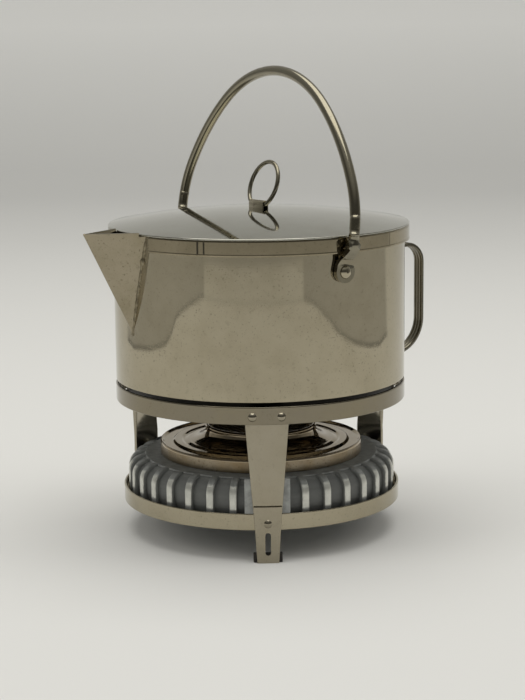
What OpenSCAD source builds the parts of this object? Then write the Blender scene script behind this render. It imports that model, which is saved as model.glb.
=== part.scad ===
// Travelling spirit kettle on a three-legged stand, with its spirit burner.
// Millimetres, +Z up. The origin is on the floor under the middle of the kettle.
// The spout points along -X, the back handle along +X, and the bail's pivots lie along Y.

/* [Kettle] */
// Outer diameter of the kettle's wall
body_d = 130; // [120:1:140]
// Height of the kettle's wall
body_h = 68.2; // [60:0.2:80]
// Thickness of the sheet that the wall, base and spout are made of
sheet_t = 0.8; // [0.6:0.1:1]
// Gap between the wall's lower edge and the stand's upper hoop
kettle_gap = 1.7; // [1.2:0.1:3]
// How far the base ring stands below the wall's lower edge
base_drop = 7.1; // [6:0.1:8]
// Height of the rolled bead round the wall's top edge
rim_h = 2.4; // [1.8:0.1:3]

/* [Spout] */
// How far the tip stands out from the wall
spout_reach = 23.4; // [18:0.2:26]
// Height from the spout's lowest point to its tip
spout_h = 46; // [38:0.5:50]
// Angle between each side of the folded spout and its middle plane
spout_fold = 30; // [24:0.5:33]
// How far the tip stands above the wall's top edge
spout_rise = 1.2; // [0.9:0.1:3]

/* [Back handle] */
// How far the handle's outer face stands out from the wall
grip_reach = 25.9; // [22:0.1:32]
// Width of the reeded strip
grip_w = 5.8; // [4.5:0.1:8]
// Thickness of the reeded strip over its reeds
grip_t = 1.8; // [1.4:0.1:2.4]
// Number of reeds along the strip
grip_reeds = 3; // [2:1:4]
// Bend radius of the strip's middle line at the top
grip_top_r = 8.5; // [6:0.5:12]
// Bend radius of the strip's middle line at the bottom
grip_low_r = 16; // [10:0.5:18]

/* [Bail] */
// Diameter of the bail's rod
rod_d = 4.5; // [4:0.1:5]
// Straight stretch between each neck and the bow
bail_straight = 2.7; // [1:0.1:12]
// Lean of the bail towards the back handle as it stands
bail_lean = 6.7; // [0:0.1:15]
// Thickness of the flattened eyes
eye_t = 2.2; // [1.6:0.1:2.6]
// Diameter across each eye
eye_d = 9.2; // [8.6:0.1:10.4]
// Diameter of the pivot studs' shanks
stud_d = 3.1; // [2.6:0.1:3.4]
// Diameter of the studs' domed heads
stud_head_d = 5.65; // [5:0.05:6.4]
// Depth of the pivots below the wall's top edge
pivot_drop = 14.5; // [12.5:0.1:18]

/* [Lid] */
// Depth of the band that slips over the wall
band_h = 6.7; // [5:0.1:8]
// Rise of the dome over the band
dome_rise = 6.3; // [4:0.1:9]
// Half width of the gap in the band at the spout
notch_half_w = 16.1; // [15.5:0.1:18]

/* [Lid ring] */
// Radius of the ring's round part, to the wire's middle
ring_r = 10.5; // [8:0.1:13]
// Diameter of the ring's wire
wire_d = 1.9; // [1.5:0.1:2.4]
// Length of the strap that holds the ring
strap_l = 11.4; // [8:0.1:12.4]
// Lean of the ring towards the back handle as it lies
ring_lean = 19.5; // [0:0.5:40]

/* [Stand] */
// Height from the floor to the lower hoop
low_hoop_z = 13.8; // [12:0.1:18]
// Height of the lower hoop's band
low_hoop_h = 7.2; // [6:0.1:9]
// Height from the floor to the upper hoop
top_hoop_z = 60.2; // [58:0.2:72]
// Height of the upper hoop's band
top_hoop_h = 7.7; // [7.4:0.1:10]
// Thickness of the upper hoop
top_hoop_t = 1.4; // [1:0.1:1.8]
// Thickness of the legs' straps and of the kettle's rests
leg_t = 1.2; // [0.8:0.1:1.4]
// Width of each leg at the upper hoop
leg_top_w = 18.4; // [17:0.1:22]
// Width of each leg at the top of its foot plate
leg_low_w = 12.7; // [11:0.1:15]
// Width of each foot plate at the floor
foot_w = 9.4; // [8:0.1:11]
// Height of each foot plate
foot_h = 24.7; // [23.6:0.1:30]

/* [Burner] */
// Number of ribs round the burner's body
rib_count = 36; // [24:1:40]
// Width of each rib
rib_w = 3.2; // [2.4:0.1:3.8]
// How far the ribs stand proud of the body
rib_proud = 2; // [1:0.1:3]
// Height of the burner's body
burner_h = 24.4; // [23:0.1:26]
// Outer diameter of the polished pan
pan_d = 91.2; // [84:0.4:96]
// Height of the pan's rim band
pan_rim_h = 6; // [4:0.1:7]
// Outer diameter of the flame collar
collar_d = 50; // [44:0.5:56]

/* [Hidden] */
$fn = 96;
big_fn = 720;
eps = 0.01;
cut = 200;
legs = ["right", "left", "front"];
leg_step = 120;

// finishes as the photograph shows them
nickel = [0.66, 0.64, 0.58];
bright_nickel = [0.74, 0.73, 0.7];
dark_cast = [0.33, 0.34, 0.34];
dark_pad = [0.15, 0.14, 0.13];
wadding = [0.72, 0.68, 0.6];

// radii that follow from the kettle
body_r = body_d/2;
leg_in_r = body_r - 2.5;
leg_out_r = leg_in_r + leg_t;
low_hoop_t = 1;
low_hoop_in_r = leg_in_r - low_hoop_t;
flange_w = 6;
flange_t = 1;
flange_in_r = low_hoop_in_r - flange_w;
foot_t = 1;
pad_h = 4;
pad_w = 12.4;
pad_t = 2.8;
rest_in_r = leg_in_r - leg_t;
rest_w = 15.6;
rest_reach = 7;
guide_w = 19.6;
guide_flare_z = 36;
base_play = 0.8;
base_ring_r = rest_in_r - base_play;
base_foot_w = 9;
base_lift = 2.6;
base_flange_h = 1.5;

// heights that follow from the stand
stand_h = top_hoop_z + top_hoop_h;
kettle_z = stand_h + kettle_gap;
kettle_top = kettle_z + body_h;
rest_z = kettle_z - base_drop;
rest_t = 1;
rivet_z = top_hoop_z + 3.3;
rivet_spread = 6.15;
rivet_shank_d = 1.8;
rivet_tail = 0.42;
hoop_rivet_d = 3.7;
rest_tab_w = 2*(rivet_spread - rivet_tail*hoop_rivet_d - 0.3);
hoop_rivet_h = 1;
foot_rivet_d = 3.5;
foot_rivet_h = 0.8;
tail_seat = 0.03;
leg_top_z = stand_h - 1;
foot_rivet_z = 17.2;
slot_low = 3.4;
slot_high = 13.3;
slot_w = 2.4;

// lid
rim_proud = 1.05;
rim_out_r = body_r + rim_proud;
band_t = 0.7;
band_in_r = rim_out_r + 0.3;
band_out_r = band_in_r + band_t;
bead_r = 0.4;
lid_edge_z = kettle_top + sheet_t;
dome_edge_r = band_out_r - bead_r;
dome_r = (dome_edge_r*dome_edge_r + dome_rise*dome_rise)/(2*dome_rise);
dome_z = lid_edge_z + dome_rise - dome_r;
dome_top = lid_edge_z + dome_rise;

// lid ring and its strap
strap_t = 0.55;
strap_in_r = wire_d/2 + 0.05;
strap_out_r = strap_in_r + strap_t;
ring_z = dome_top + strap_out_r + 0.35;
chord_half = strap_l/2 + 0.32;
chord_drop = sqrt(ring_r*ring_r - chord_half*chord_half);

// bail, in its own plane: s runs out along Y and h runs up from the pivot
pivot_z = kettle_top - pivot_drop;
eye_gap = 0.3;
eye_in = body_r + eye_gap;
eye_out = eye_in + eye_t;
neck_top = 13.4;
bow_half = body_r + 6;
hook_end_a = 10;
crown_a = 38;
shoulder_a = 62;
crown_r = 0.9014*bow_half;
low_r = 0.6338*bow_half;
shoulder_r = (bow_half - crown_r*sin(crown_a) - low_r*(1 - sin(shoulder_a)))/(sin(shoulder_a) - sin(crown_a));
low_c = [bow_half - low_r, neck_top + bail_straight];
shoulder_c = low_c - (shoulder_r - low_r)*[sin(shoulder_a), cos(shoulder_a)];
crown_c = shoulder_c + (shoulder_r - crown_r)*[sin(crown_a), cos(crown_a)];
bore_r = stud_d/2 + 0.05;
stud_head_h = 1.4;

// spout
tip_x = body_r + spout_reach;
tip_z = kettle_top + spout_rise;
ridge_a = atan(spout_reach/spout_h);
opening_rise = 7.5;
opening_half_w = 8;

// back handle
grip_x = body_r + grip_reach - grip_t/2;
grip_top_drop = 15.4;
grip_low_rise = 1.6;
grip_top_z = kettle_top - grip_top_drop;
grip_low_z = kettle_z + grip_low_rise;

// burner
burner_r = low_hoop_in_r - 1.1;
burner_z = low_hoop_z - 3.8;
burner_top = burner_z + burner_h;
burner_low_r = 12.2;
burner_top_r = 6.5;
burner_skin = 2;
rib_phase = 0.6;
seat_z = low_hoop_z + flange_t;
seat_r = flange_in_r - 0.3;
mouth_r = pan_d/2 - 5;
base_hole_r = burner_r - burner_low_r - 7.2;
base_plate_t = 2;
pan_r = pan_d/2;
pan_t = 0.8;
pan_top = burner_top + pan_rim_h;
pan_w = pan_r - collar_d/2;
rim_fold = 0.4;
trough_out = 0.078*pan_w;
trough_in = 0.272*pan_w;
step_out = 0.32*pan_w;
step_in = 0.466*pan_w;
step_foot = 0.505*pan_w;
flare_r = collar_d/2 + 0.388*pan_w;
trough_z = pan_top - 0.15*pan_rim_h;
step_z = pan_top - 0.03*pan_rim_h;
dish_z = pan_top - 0.12*pan_rim_h;
flare_steps = 6;
collar_r = collar_d/2;
collar_t = 1.2;
collar_rise = 1.1*pan_rim_h;
collar_top = pan_top + collar_rise;
collar_low = burner_top - burner_h/3;
flare_rise = collar_top - 1.6 - step_z;
cup_t = 0.8;
cup_r = collar_r - collar_t - 0.05;
cup_low = burner_z + 8;
gauze_drop = 2.6;
gauze_t = 0.6;
gauze_pitch = 3.8;
gauze_bar = 0.9;

function smooth(t) = 3*pow(min(max(t, 0), 1), 2) - 2*pow(min(max(t, 0), 1), 3);
function ramp(a, b, t) = a + (b - a)*smooth(t);

module tube(outer, inner, z0, z1) {
    translate([0, 0, z0])
        difference() {
            cylinder(r = outer, h = z1 - z0);
            translate([0, 0, -1])
                cylinder(r = inner, h = z1 - z0 + 2);
        }
}

module ring_section(inner, outer, z0, z1) {
    translate([inner, z0])
        square([outer - inner, z1 - z0]);
}

// a spherical cap of radius r and height h, flat side at x = 0, standing out along +X
module cap(r, h) {
    ball = (r*r + h*h)/(2*h);
    rotate([0, 90, 0])
        rotate_extrude()
            intersection() {
                translate([0, h - ball])
                    circle(r = ball, $fn = 180);
                square([r, h]);
            }
}

// a rivet along +X: x = 0 is the face that its domed head sits on
module rivet(head_d, head_h, grip) {
    tail_h = 0.5;
    tail_r = rivet_tail*head_d;
    cap(head_d/2, head_h);
    translate([-grip - tail_seat - tail_h/2, 0, 0])
        rotate([0, 90, 0])
            cylinder(d = rivet_shank_d, h = grip + tail_seat + tail_h/2 + head_h/2);
    translate([-grip - tail_seat, 0, 0])
        mirror([1, 0, 0])
            cap(tail_r, tail_h);
}

module at_legs() {
    for (i = [0 : len(legs) - 1])
        rotate([0, 0, i*leg_step])
            children();
}

module hoop_rivet_holes(r) {
    at_legs()
        for (side = [-1, 1])
            rotate([0, 0, side*asin(rivet_spread/body_r)])
                translate([r - 8, 0, rivet_z])
                    rotate([0, 90, 0])
                        cylinder(d = rivet_shank_d, h = 16);
}

// kettle body

module spout_opening() {
    top_z = kettle_top - band_h - 1;
    low_z = tip_z - spout_h + opening_rise;
    translate([-body_r - 4, 0, 0])
        rotate([90, 0, 90])
            linear_extrude(8)
                polygon([[0, low_z], [opening_half_w, top_z], [-opening_half_w, top_z]]);
}

module kettle_wall() {
    color(nickel)
        difference() {
            tube(body_r, body_r - sheet_t, kettle_z, kettle_top);
            spout_opening();
            translate([0, 0, pivot_z])
                rotate([90, 0, 0])
                    cylinder(d = stud_d, h = 2*body_r + 4, center = true);
        }
}

module kettle_rim() {
    soft = rim_proud*0.6;
    color(bright_nickel)
        difference() {
            rotate_extrude() {
                ring_section(body_r, rim_out_r - soft, kettle_top - rim_h, kettle_top);
                ring_section(body_r, rim_out_r, kettle_top - rim_h + soft, kettle_top - soft);
                for (z = [kettle_top - rim_h + soft, kettle_top - soft])
                    translate([rim_out_r - soft, z])
                        circle(r = soft, $fn = 48);
            }
            cylinder(r = body_r, h = cut);
            translate([-body_r - 10, -notch_half_w, kettle_top - 10])
                cube([20, 2*notch_half_w, 20]);
        }
}

module kettle_base() {
    in_r = body_r - sheet_t;
    color(nickel)
        rotate_extrude() {
            ring_section(in_r - sheet_t, in_r, kettle_z, kettle_z + base_flange_h);
            ring_section(base_ring_r - sheet_t, in_r, kettle_z, kettle_z + sheet_t);
            ring_section(base_ring_r - sheet_t, base_ring_r, rest_z, kettle_z + sheet_t);
            ring_section(base_ring_r - base_foot_w, base_ring_r, rest_z, rest_z + sheet_t);
            ring_section(base_ring_r - base_foot_w, base_ring_r - base_foot_w + sheet_t,
                         rest_z, rest_z + base_lift);
            ring_section(0, base_ring_r - base_foot_w + sheet_t,
                         rest_z + base_lift - sheet_t, rest_z + base_lift);
        }
}

module spout() {
    run = 60;
    side = run*tan(spout_fold);
    skin = sheet_t/cos(spout_fold);
    color(nickel)
        difference() {
            translate([-tip_x, 0, tip_z])
                rotate([0, -ridge_a, 0])
                    translate([0, 0, -1.4*spout_h])
                        linear_extrude(1.4*spout_h + 30)
                            polygon([[0, 0], [run, side], [run, side - skin],
                                     [sheet_t/sin(spout_fold), 0], [run, skin - side], [run, -side]]);
            cylinder(r = body_r, h = cut);
            translate([0, 0, tip_z])
                cylinder(r = cut, h = cut);
            translate([0, 0, kettle_top - 0.3])
                cylinder(r = band_out_r + 0.6, h = cut);
            translate([-20, -cut/2, 0])
                cube([cut, cut, cut]);
        }
}

// the strip's section: x is across its thickness with the reeds outwards, y is across its width
module grip_section() {
    pitch = grip_w/grip_reeds;
    translate([-grip_t/2, -grip_w/2])
        square([grip_t*0.6, grip_w]);
    for (i = [0 : grip_reeds - 1])
        translate([grip_t/2 - pitch/2, (i - (grip_reeds - 1)/2)*pitch])
            circle(d = pitch, $fn = 32);
}

module grip_bend(r) {
    rotate([90, 0, 0])
        rotate_extrude(angle = 90)
            translate([r, 0])
                grip_section();
}

module grip_bar(l) {
    linear_extrude(l)
        grip_section();
}

module back_handle() {
    top_x = grip_x - grip_top_r;
    low_x = grip_x - grip_low_r;
    color(nickel)
        difference() {
            union() {
                translate([top_x, 0, grip_top_z - grip_top_r])
                    grip_bend(grip_top_r);
                translate([low_x, 0, grip_low_z + grip_low_r])
                    mirror([0, 0, 1])
                        grip_bend(grip_low_r);
                translate([grip_x, 0, grip_low_z + grip_low_r])
                    grip_bar(grip_top_z - grip_top_r - grip_low_z - grip_low_r);
                translate([body_r - 5, 0, grip_top_z])
                    rotate([0, 90, 0])
                        mirror([1, 0, 0])
                            grip_bar(top_x - body_r + 5);
                translate([body_r - 5, 0, grip_low_z])
                    rotate([0, 90, 0])
                        grip_bar(low_x - body_r + 5);
            }
            cylinder(r = body_r, h = cut);
        }
}

module bail_stud() {
    head_x = eye_out + 0.1;
    inner_t = 1.2;
    in_r = body_r - sheet_t;
    inner_x = sqrt(in_r*in_r - stud_head_d*stud_head_d/4) - 0.01;
    rotate([0, 0, 90]) {
        translate([head_x, 0, 0])
            cap(stud_head_d/2, stud_head_h);
        translate([inner_x - inner_t, 0, 0])
            rotate([0, 90, 0])
                cylinder(d = stud_d, h = head_x - inner_x + inner_t);
        translate([inner_x - inner_t, 0, 0])
            rotate([0, 90, 0])
                cylinder(d = stud_head_d, h = inner_t);
    }
}

module bail_studs() {
    color(bright_nickel)
        translate([0, 0, pivot_z])
            for (side = [0, 1])
                mirror([0, side, 0])
                    bail_stud();
}

// bail

module bow_arc(c, r, a0, a1) {
    translate(c)
        rotate([0, 0, a0])
            rotate_extrude(angle = a1 - a0, $fn = 180)
                translate([r, 0])
                    circle(d = rod_d, $fn = 48);
}

// the neck seen from the front: the flat eye bends out over the lid's band and up into the rod
neck_in_low = 3;
neck_in_run = 6.6;
neck_out_low = 2.6;
neck_out_run = 8.9;
neck_side_low = 1.2;
neck_side_run = 9;
function neck_in(h) = ramp(eye_in, bow_half - rod_d/2, (h - neck_in_low)/neck_in_run);
function neck_out(h) = ramp(eye_out, bow_half + rod_d/2, (h - neck_out_low)/neck_out_run);
function neck_side(h) = ramp(eye_d/2 - 0.1, rod_d/2, (h - neck_side_low)/neck_side_run);

module neck_front() {
    steps = 10;
    top = neck_top;
    linear_extrude(2*eye_d, center = true)
        polygon(concat([[eye_in, -eye_d]],
                       [for (i = [0 : steps]) let (h = neck_in_low + i*neck_in_run/steps) [neck_in(h), h]],
                       [[bow_half - rod_d/2, top], [bow_half + rod_d/2, top]],
                       [for (i = [steps : -1 : 0]) let (h = neck_out_low + i*neck_out_run/steps) [neck_out(h), h]],
                       [[eye_out, -eye_d]]));
}

// the neck seen from the side: the rod's end curls round the stud as a hook, open towards the handle
module neck_profile() {
    steps = 10;
    window_low = stud_head_d/2 + 0.1;
    window_high = 5.4;
    window_side = -1.5;
    difference() {
        union() {
            circle(d = eye_d, $fn = 96);
            polygon(concat([[rod_d/2, 0], [rod_d/2, neck_top]],
                           [for (i = [steps : -1 : 0]) [-neck_side(neck_top*i/steps), neck_top*i/steps]]));
        }
        translate([window_side, window_low])
            square([eye_d, window_high - window_low]);
    }
}

module neck() {
    taper_h = 10.4;
    intersection() {
        neck_front();
        translate([bow_half + eye_d, 0, 0])
            rotate([0, -90, 0])
                linear_extrude(3*eye_d)
                    neck_profile();
        translate([bow_half, neck_top, 0])
            rotate([90, 0, 0])
                union() {
                    cylinder(r1 = rod_d/2, r2 = rod_d/2 + 6, h = taper_h);
                    translate([0, 0, taper_h])
                        cylinder(r = rod_d/2 + 6, h = 12);
                }
    }
}

// a sleeve a hair wider than the rod, where two stretches of the bow meet
module bow_joint(c, r, a) {
    translate([c[0] + r*cos(a), c[1] + r*sin(a), 0])
        rotate([0, 0, a])
            rotate([90, 0, 0])
                cylinder(r = rod_d/2 + 0.05, h = 1, center = true);
}

module bail_half() {
    bow_arc(shoulder_c, shoulder_r, 90 - shoulder_a, 90 - crown_a);
    bow_arc(low_c, low_r, hook_end_a, 90 - shoulder_a);
    bow_joint(crown_c, crown_r, 90 - crown_a);
    bow_joint(low_c, low_r, 90 - shoulder_a);
}

// the round stretch of each hooked end, up to where the bow begins
module hook_stem() {
    bow_arc(low_c, low_r, 0, hook_end_a);
    bow_joint(low_c, low_r, 0);
    translate([bow_half, neck_top, 0])
        rotate([-90, 0, 0])
            cylinder(d = rod_d, h = bail_straight, $fn = 48);
}

// the bail's own plane stood up over the pivots
module bail_place() {
    translate([0, 0, pivot_z])
        rotate([0, bail_lean, 0])
            rotate([90, 0, 90])
                children();
}

module bail() {
    color(nickel)
        bail_place()
            union() {
                bow_arc(crown_c, crown_r, 90 - crown_a, 90 + crown_a);
                for (side = [0, 1])
                    mirror([side, 0, 0])
                        bail_half();
            }
}

module bail_hooks() {
    color(nickel)
        bail_place()
            for (side = [0, 1])
                mirror([side, 0, 0])
                    difference() {
                        union() {
                            neck();
                            hook_stem();
                        }
                        rotate([0, 90, 0])
                            cylinder(r = bore_r, h = 2*bow_half);
                    }
}

// lid

module strap_slits() {
    for (side = [-1, 1])
        translate([side*(strap_in_r + strap_t/2), 0, dome_top])
            cube([strap_t, strap_l, 6], center = true);
}

module lid_top() {
    edge_in = body_r - 0.6;
    color(bright_nickel)
        difference() {
            rotate_extrude() {
                intersection() {
                    translate([0, dome_z])
                        difference() {
                            circle(r = dome_r, $fn = big_fn);
                            circle(r = dome_r - sheet_t, $fn = big_fn);
                        }
                    ring_section(0, dome_edge_r, kettle_top, dome_top + 1);
                }
                ring_section(edge_in, dome_edge_r, kettle_top, lid_edge_z);
                translate([dome_edge_r, kettle_top + bead_r])
                    circle(r = bead_r, $fn = 48);
            }
            strap_slits();
        }
}

module lid_band() {
    low_z = kettle_top - band_h;
    color(nickel)
        difference() {
            rotate_extrude() {
                ring_section(band_in_r, band_out_r, low_z, kettle_top);
                translate([band_out_r - 0.3, low_z + bead_r])
                    circle(r = bead_r, $fn = 48);
            }
            translate([-body_r - 10, -notch_half_w, low_z - 1])
                cube([20, 2*notch_half_w, band_h + 2]);
        }
}

// a staple: half a tube over the ring's wire, with two tails through the lid that are clinched below
module ring_strap() {
    clinch_w = 3;
    clinch_drop = 0.08;
    tail_z = dome_top - ring_z - sheet_t - strap_t - clinch_drop;
    color(nickel)
        translate([0, 0, ring_z])
            rotate([90, 0, 0])
                linear_extrude(strap_l, center = true) {
                    difference() {
                        circle(r = strap_out_r, $fn = 48);
                        circle(r = strap_in_r, $fn = 48);
                        translate([-4, -8])
                            square([8, 8]);
                    }
                    for (side = [0, 1])
                        mirror([side, 0]) {
                            translate([strap_in_r, tail_z])
                                square([strap_t, -tail_z]);
                            translate([strap_in_r, tail_z])
                                square([clinch_w, strap_t]);
                        }
                }
}

module lid_ring() {
    end_a = atan(chord_drop/chord_half);
    color(nickel)
        translate([0, 0, ring_z])
            rotate([0, ring_lean, 0])
                rotate([90, 0, 90]) {
                    translate([0, chord_drop, 0])
                        rotate([0, 0, -end_a])
                            rotate_extrude(angle = 180 + 2*end_a)
                                translate([ring_r, 0])
                                    circle(d = wire_d, $fn = 48);
                    rotate([0, 90, 0])
                        cylinder(d = wire_d, h = 2*chord_half, center = true, $fn = 48);
                    for (side = [-1, 1])
                        translate([side*chord_half, 0, 0])
                            sphere(d = wire_d, $fn = 48);
                }
}

// stand

module upper_hoop() {
    color(nickel)
        difference() {
            tube(leg_out_r + top_hoop_t, leg_out_r, top_hoop_z, stand_h);
            hoop_rivet_holes(leg_out_r);
        }
}

module lower_hoop() {
    color(nickel)
        difference() {
            union() {
                tube(leg_in_r, low_hoop_in_r, low_hoop_z, low_hoop_z + low_hoop_h);
                tube(leg_in_r, flange_in_r, low_hoop_z, low_hoop_z + flange_t);
            }
            foot_rivet_holes();
        }
}

module foot_rivet_holes() {
    at_legs()
        translate([low_hoop_in_r - 2, 0, foot_rivet_z])
            rotate([0, 90, 0])
                cylinder(d = rivet_shank_d, h = 10);
}

// a strap that follows the hoops' curve, cut to an outline that is seen from outside
module curved_plate(in_r, out_r, z0, z1) {
    intersection() {
        tube(out_r, in_r, z0, z1);
        rotate([90, 0, 90])
            linear_extrude(cut)
                children();
    }
}

// an upright slot through the foot plate and the leg behind it
module foot_slot() {
    deep = 6;
    for (z = [slot_low + slot_w/2, slot_high - slot_w/2])
        translate([leg_in_r - 1, 0, z])
            rotate([0, 90, 0])
                cylinder(d = slot_w, h = deep);
    translate([leg_in_r - 1, -slot_w/2, slot_low + slot_w/2])
        cube([deep, slot_w, slot_high - slot_low - slot_w]);
}

function foot_side(z) = foot_w/2 + (leg_low_w - 0.5 - foot_w)/2*z/foot_h;

module leg() {
    color(nickel)
        difference() {
            curved_plate(leg_in_r, leg_out_r, pad_h, leg_top_z)
                polygon([[foot_side(0) - 0.2, 0], [leg_low_w/2, foot_h + eps], [leg_top_w/2, top_hoop_z],
                         [leg_top_w/2, stand_h], [-leg_top_w/2, stand_h], [-leg_top_w/2, top_hoop_z],
                         [-leg_low_w/2, foot_h + eps], [0.2 - foot_side(0), 0]]);
            hoop_rivet_holes(leg_out_r);
            foot_rivet_holes();
            foot_slot();
        }
}

module foot() {
    color(nickel)
        difference() {
            curved_plate(leg_out_r, leg_out_r + foot_t, 0, foot_h)
                polygon([[foot_side(0), 0], [foot_side(foot_h), foot_h],
                         [-foot_side(foot_h), foot_h], [-foot_side(0), 0]]);
            foot_rivet_holes();
            foot_slot();
        }
}

module foot_pads() {
    color(dark_pad)
        at_legs()
            curved_plate(leg_out_r - pad_t, leg_out_r, 0, pad_h)
                translate([-pad_w/2, 0])
                    square([pad_w, pad_h]);
}

module hoop_rivets() {
    color(bright_nickel)
        at_legs()
            for (side = [-1, 1])
                rotate([0, 0, side*asin(rivet_spread/body_r)])
                    translate([leg_out_r + top_hoop_t, 0, rivet_z])
                        rivet(hoop_rivet_d, hoop_rivet_h, top_hoop_t + leg_t + leg_t);
}

module foot_rivets() {
    color(bright_nickel)
        at_legs()
            translate([leg_out_r + foot_t, 0, foot_rivet_z])
                rivet(foot_rivet_d, foot_rivet_h, foot_t + leg_t + low_hoop_t);
}

// guide plates behind the legs: they flare downwards beside the burner, and the kettle's base ring
// stands on the tabs at their tops
module kettle_rests() {
    guide_low = low_hoop_z + low_hoop_h + 0.2;
    color(nickel)
        difference() {
            at_legs() {
                curved_plate(rest_in_r, leg_in_r, guide_low, leg_top_z)
                    polygon([[guide_w/2, guide_low], [guide_w/2, guide_flare_z], [rest_w/2, rest_z - rest_t],
                             [rest_w/2, stand_h], [-rest_w/2, stand_h], [-rest_w/2, rest_z - rest_t],
                             [-guide_w/2, guide_flare_z], [-guide_w/2, guide_low]]);
                curved_plate(leg_in_r - rest_reach, leg_in_r, rest_z - rest_t, rest_z)
                    translate([-rest_tab_w/2, 0])
                        square([rest_tab_w, cut]);
            }
            hoop_rivet_holes(leg_out_r);
        }
}

// burner

// half section of the burner's body, drawn in from its ribs' outer face by an inset
module body_section(inset) {
    r = burner_r - inset;
    z0 = burner_z + inset;
    z1 = burner_top - inset;
    ring_section(0, r - burner_low_r, z0, z1);
    ring_section(0, r, z0 + burner_low_r, z1 - burner_top_r);
    ring_section(0, r - burner_top_r, z0 + burner_low_r, z1);
    intersection() {
        translate([r - burner_low_r, z0 + burner_low_r])
            circle(r = burner_low_r, $fn = 144);
        ring_section(r - burner_low_r, r, z0, z0 + burner_low_r);
    }
    translate([r - burner_top_r, z1 - burner_top_r])
        circle(r = burner_top_r, $fn = 96);
}

module burner_body() {
    color(dark_cast)
        difference() {
            union() {
                rotate_extrude()
                    body_section(rib_proud);
                intersection() {
                    rotate_extrude()
                        difference() {
                            body_section(0);
                            square([base_hole_r, cut]);
                        }
                    for (i = [0 : rib_count - 1])
                        rotate([0, 0, (i + rib_phase)*360/rib_count])
                            translate([base_hole_r - 1, -rib_w/2, 0])
                                cube([cut, rib_w, cut]);
                }
                translate([0, 0, burner_top - 3])
                    cylinder(r = mouth_r + 4.5, h = 3);
            }
            rotate_extrude()
                body_section(rib_proud + burner_skin);
            tube(cut, seat_r, 0, seat_z);
            cylinder(r = base_hole_r, h = burner_z + rib_proud + burner_skin + 1);
            translate([0, 0, burner_top - burner_skin - rib_proud - 3])
                cylinder(r = mouth_r, h = cut);
        }
}

module burner_base() {
    z0 = burner_z + rib_proud;
    color(dark_cast)
        union() {
            translate([0, 0, z0])
                cylinder(r = base_hole_r, h = base_plate_t);
            tube(base_hole_r + 2.5, base_hole_r - 2, z0 + burner_skin, z0 + burner_skin + 1);
            tube(base_hole_r, base_hole_r - 2, z0, z0 + burner_skin + 1);
        }
}

// half section of the pan's upper face: the rim, two flat steps and a flared rise to the collar
function pan_flare(i) = [flare_r + (collar_r + 0.1 - flare_r)*sin(i*90/flare_steps),
                         step_z + flare_rise*(1 - cos(i*90/flare_steps))];
function pan_line() =
    concat([[pan_r - rim_fold, pan_top], [pan_r - trough_out, trough_z], [pan_r - trough_in, trough_z],
            [pan_r - step_out, step_z], [pan_r - step_in, step_z], [pan_r - step_foot, dish_z],
            [flare_r, step_z]],
           [for (i = [1 : flare_steps]) pan_flare(i)]);

module burner_pan() {
    line = pan_line();
    last = len(line) - 1;
    color(bright_nickel)
        rotate_extrude() {
            polygon(concat(line, [for (i = [last : -1 : 0]) line[i] - [0, pan_t]]));
            ring_section(pan_r - pan_t, pan_r, burner_top, pan_top - 0.4);
            translate([pan_r - 0.4, pan_top - 0.4])
                circle(r = 0.4, $fn = 32);
            ring_section(mouth_r - 0.05 - pan_t, mouth_r - 0.05, burner_top - 3, pan_top - 1.2);
        }
}

module burner_collar() {
    color(bright_nickel)
        rotate_extrude() {
            ring_section(collar_r - collar_t, collar_r, collar_low, collar_top - 0.6);
            translate([collar_r - collar_t/2, collar_top - 0.6])
                circle(r = 0.9, $fn = 48);
        }
}

module burner_cup() {
    color(nickel)
        difference() {
            translate([0, 0, cup_low])
                cylinder(r = cup_r + 0.05, h = collar_top - gauze_drop - gauze_t - cup_low);
            translate([0, 0, cup_low + cup_t])
                cylinder(r = cup_r - cup_t, h = cut);
        }
}

module burner_wick() {
    color(wadding)
        translate([0, 0, cup_low + cup_t])
            cylinder(r = cup_r - cup_t, h = collar_top - gauze_drop - gauze_t - cup_low - cup_t);
}

module burner_gauze() {
    r = cup_r + 0.05;
    count = floor(r/gauze_pitch);
    color(nickel)
        translate([0, 0, collar_top - gauze_drop - gauze_t]) {
            tube(r, r - 1.5, 0, gauze_t);
            intersection() {
                cylinder(r = r - 1, h = gauze_t);
                for (turn = [45, 135])
                    rotate([0, 0, turn])
                        for (i = [-count : count])
                            translate([i*gauze_pitch - gauze_bar/2, -r, 0])
                                cube([gauze_bar, 2*r, gauze_t]);
            }
        }
}

kettle_wall();
kettle_rim();
kettle_base();
spout();
back_handle();
bail_studs();
bail();
bail_hooks();
lid_top();
lid_band();
ring_strap();
lid_ring();
upper_hoop();
lower_hoop();
for (i = [0 : len(legs) - 1]) {
    rotate([0, 0, i*leg_step]) leg();
    rotate([0, 0, i*leg_step]) foot();
}
hoop_rivets();
foot_rivets();
foot_pads();
kettle_rests();
burner_body();
burner_base();
burner_pan();
burner_collar();
burner_cup();
burner_wick();
burner_gauze();
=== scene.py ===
from math import acos, asin, atan2, cos, degrees, pi, radians, sin, sqrt, tan

import bmesh
import bpy
from mathutils import Matrix, Vector, noise


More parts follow.
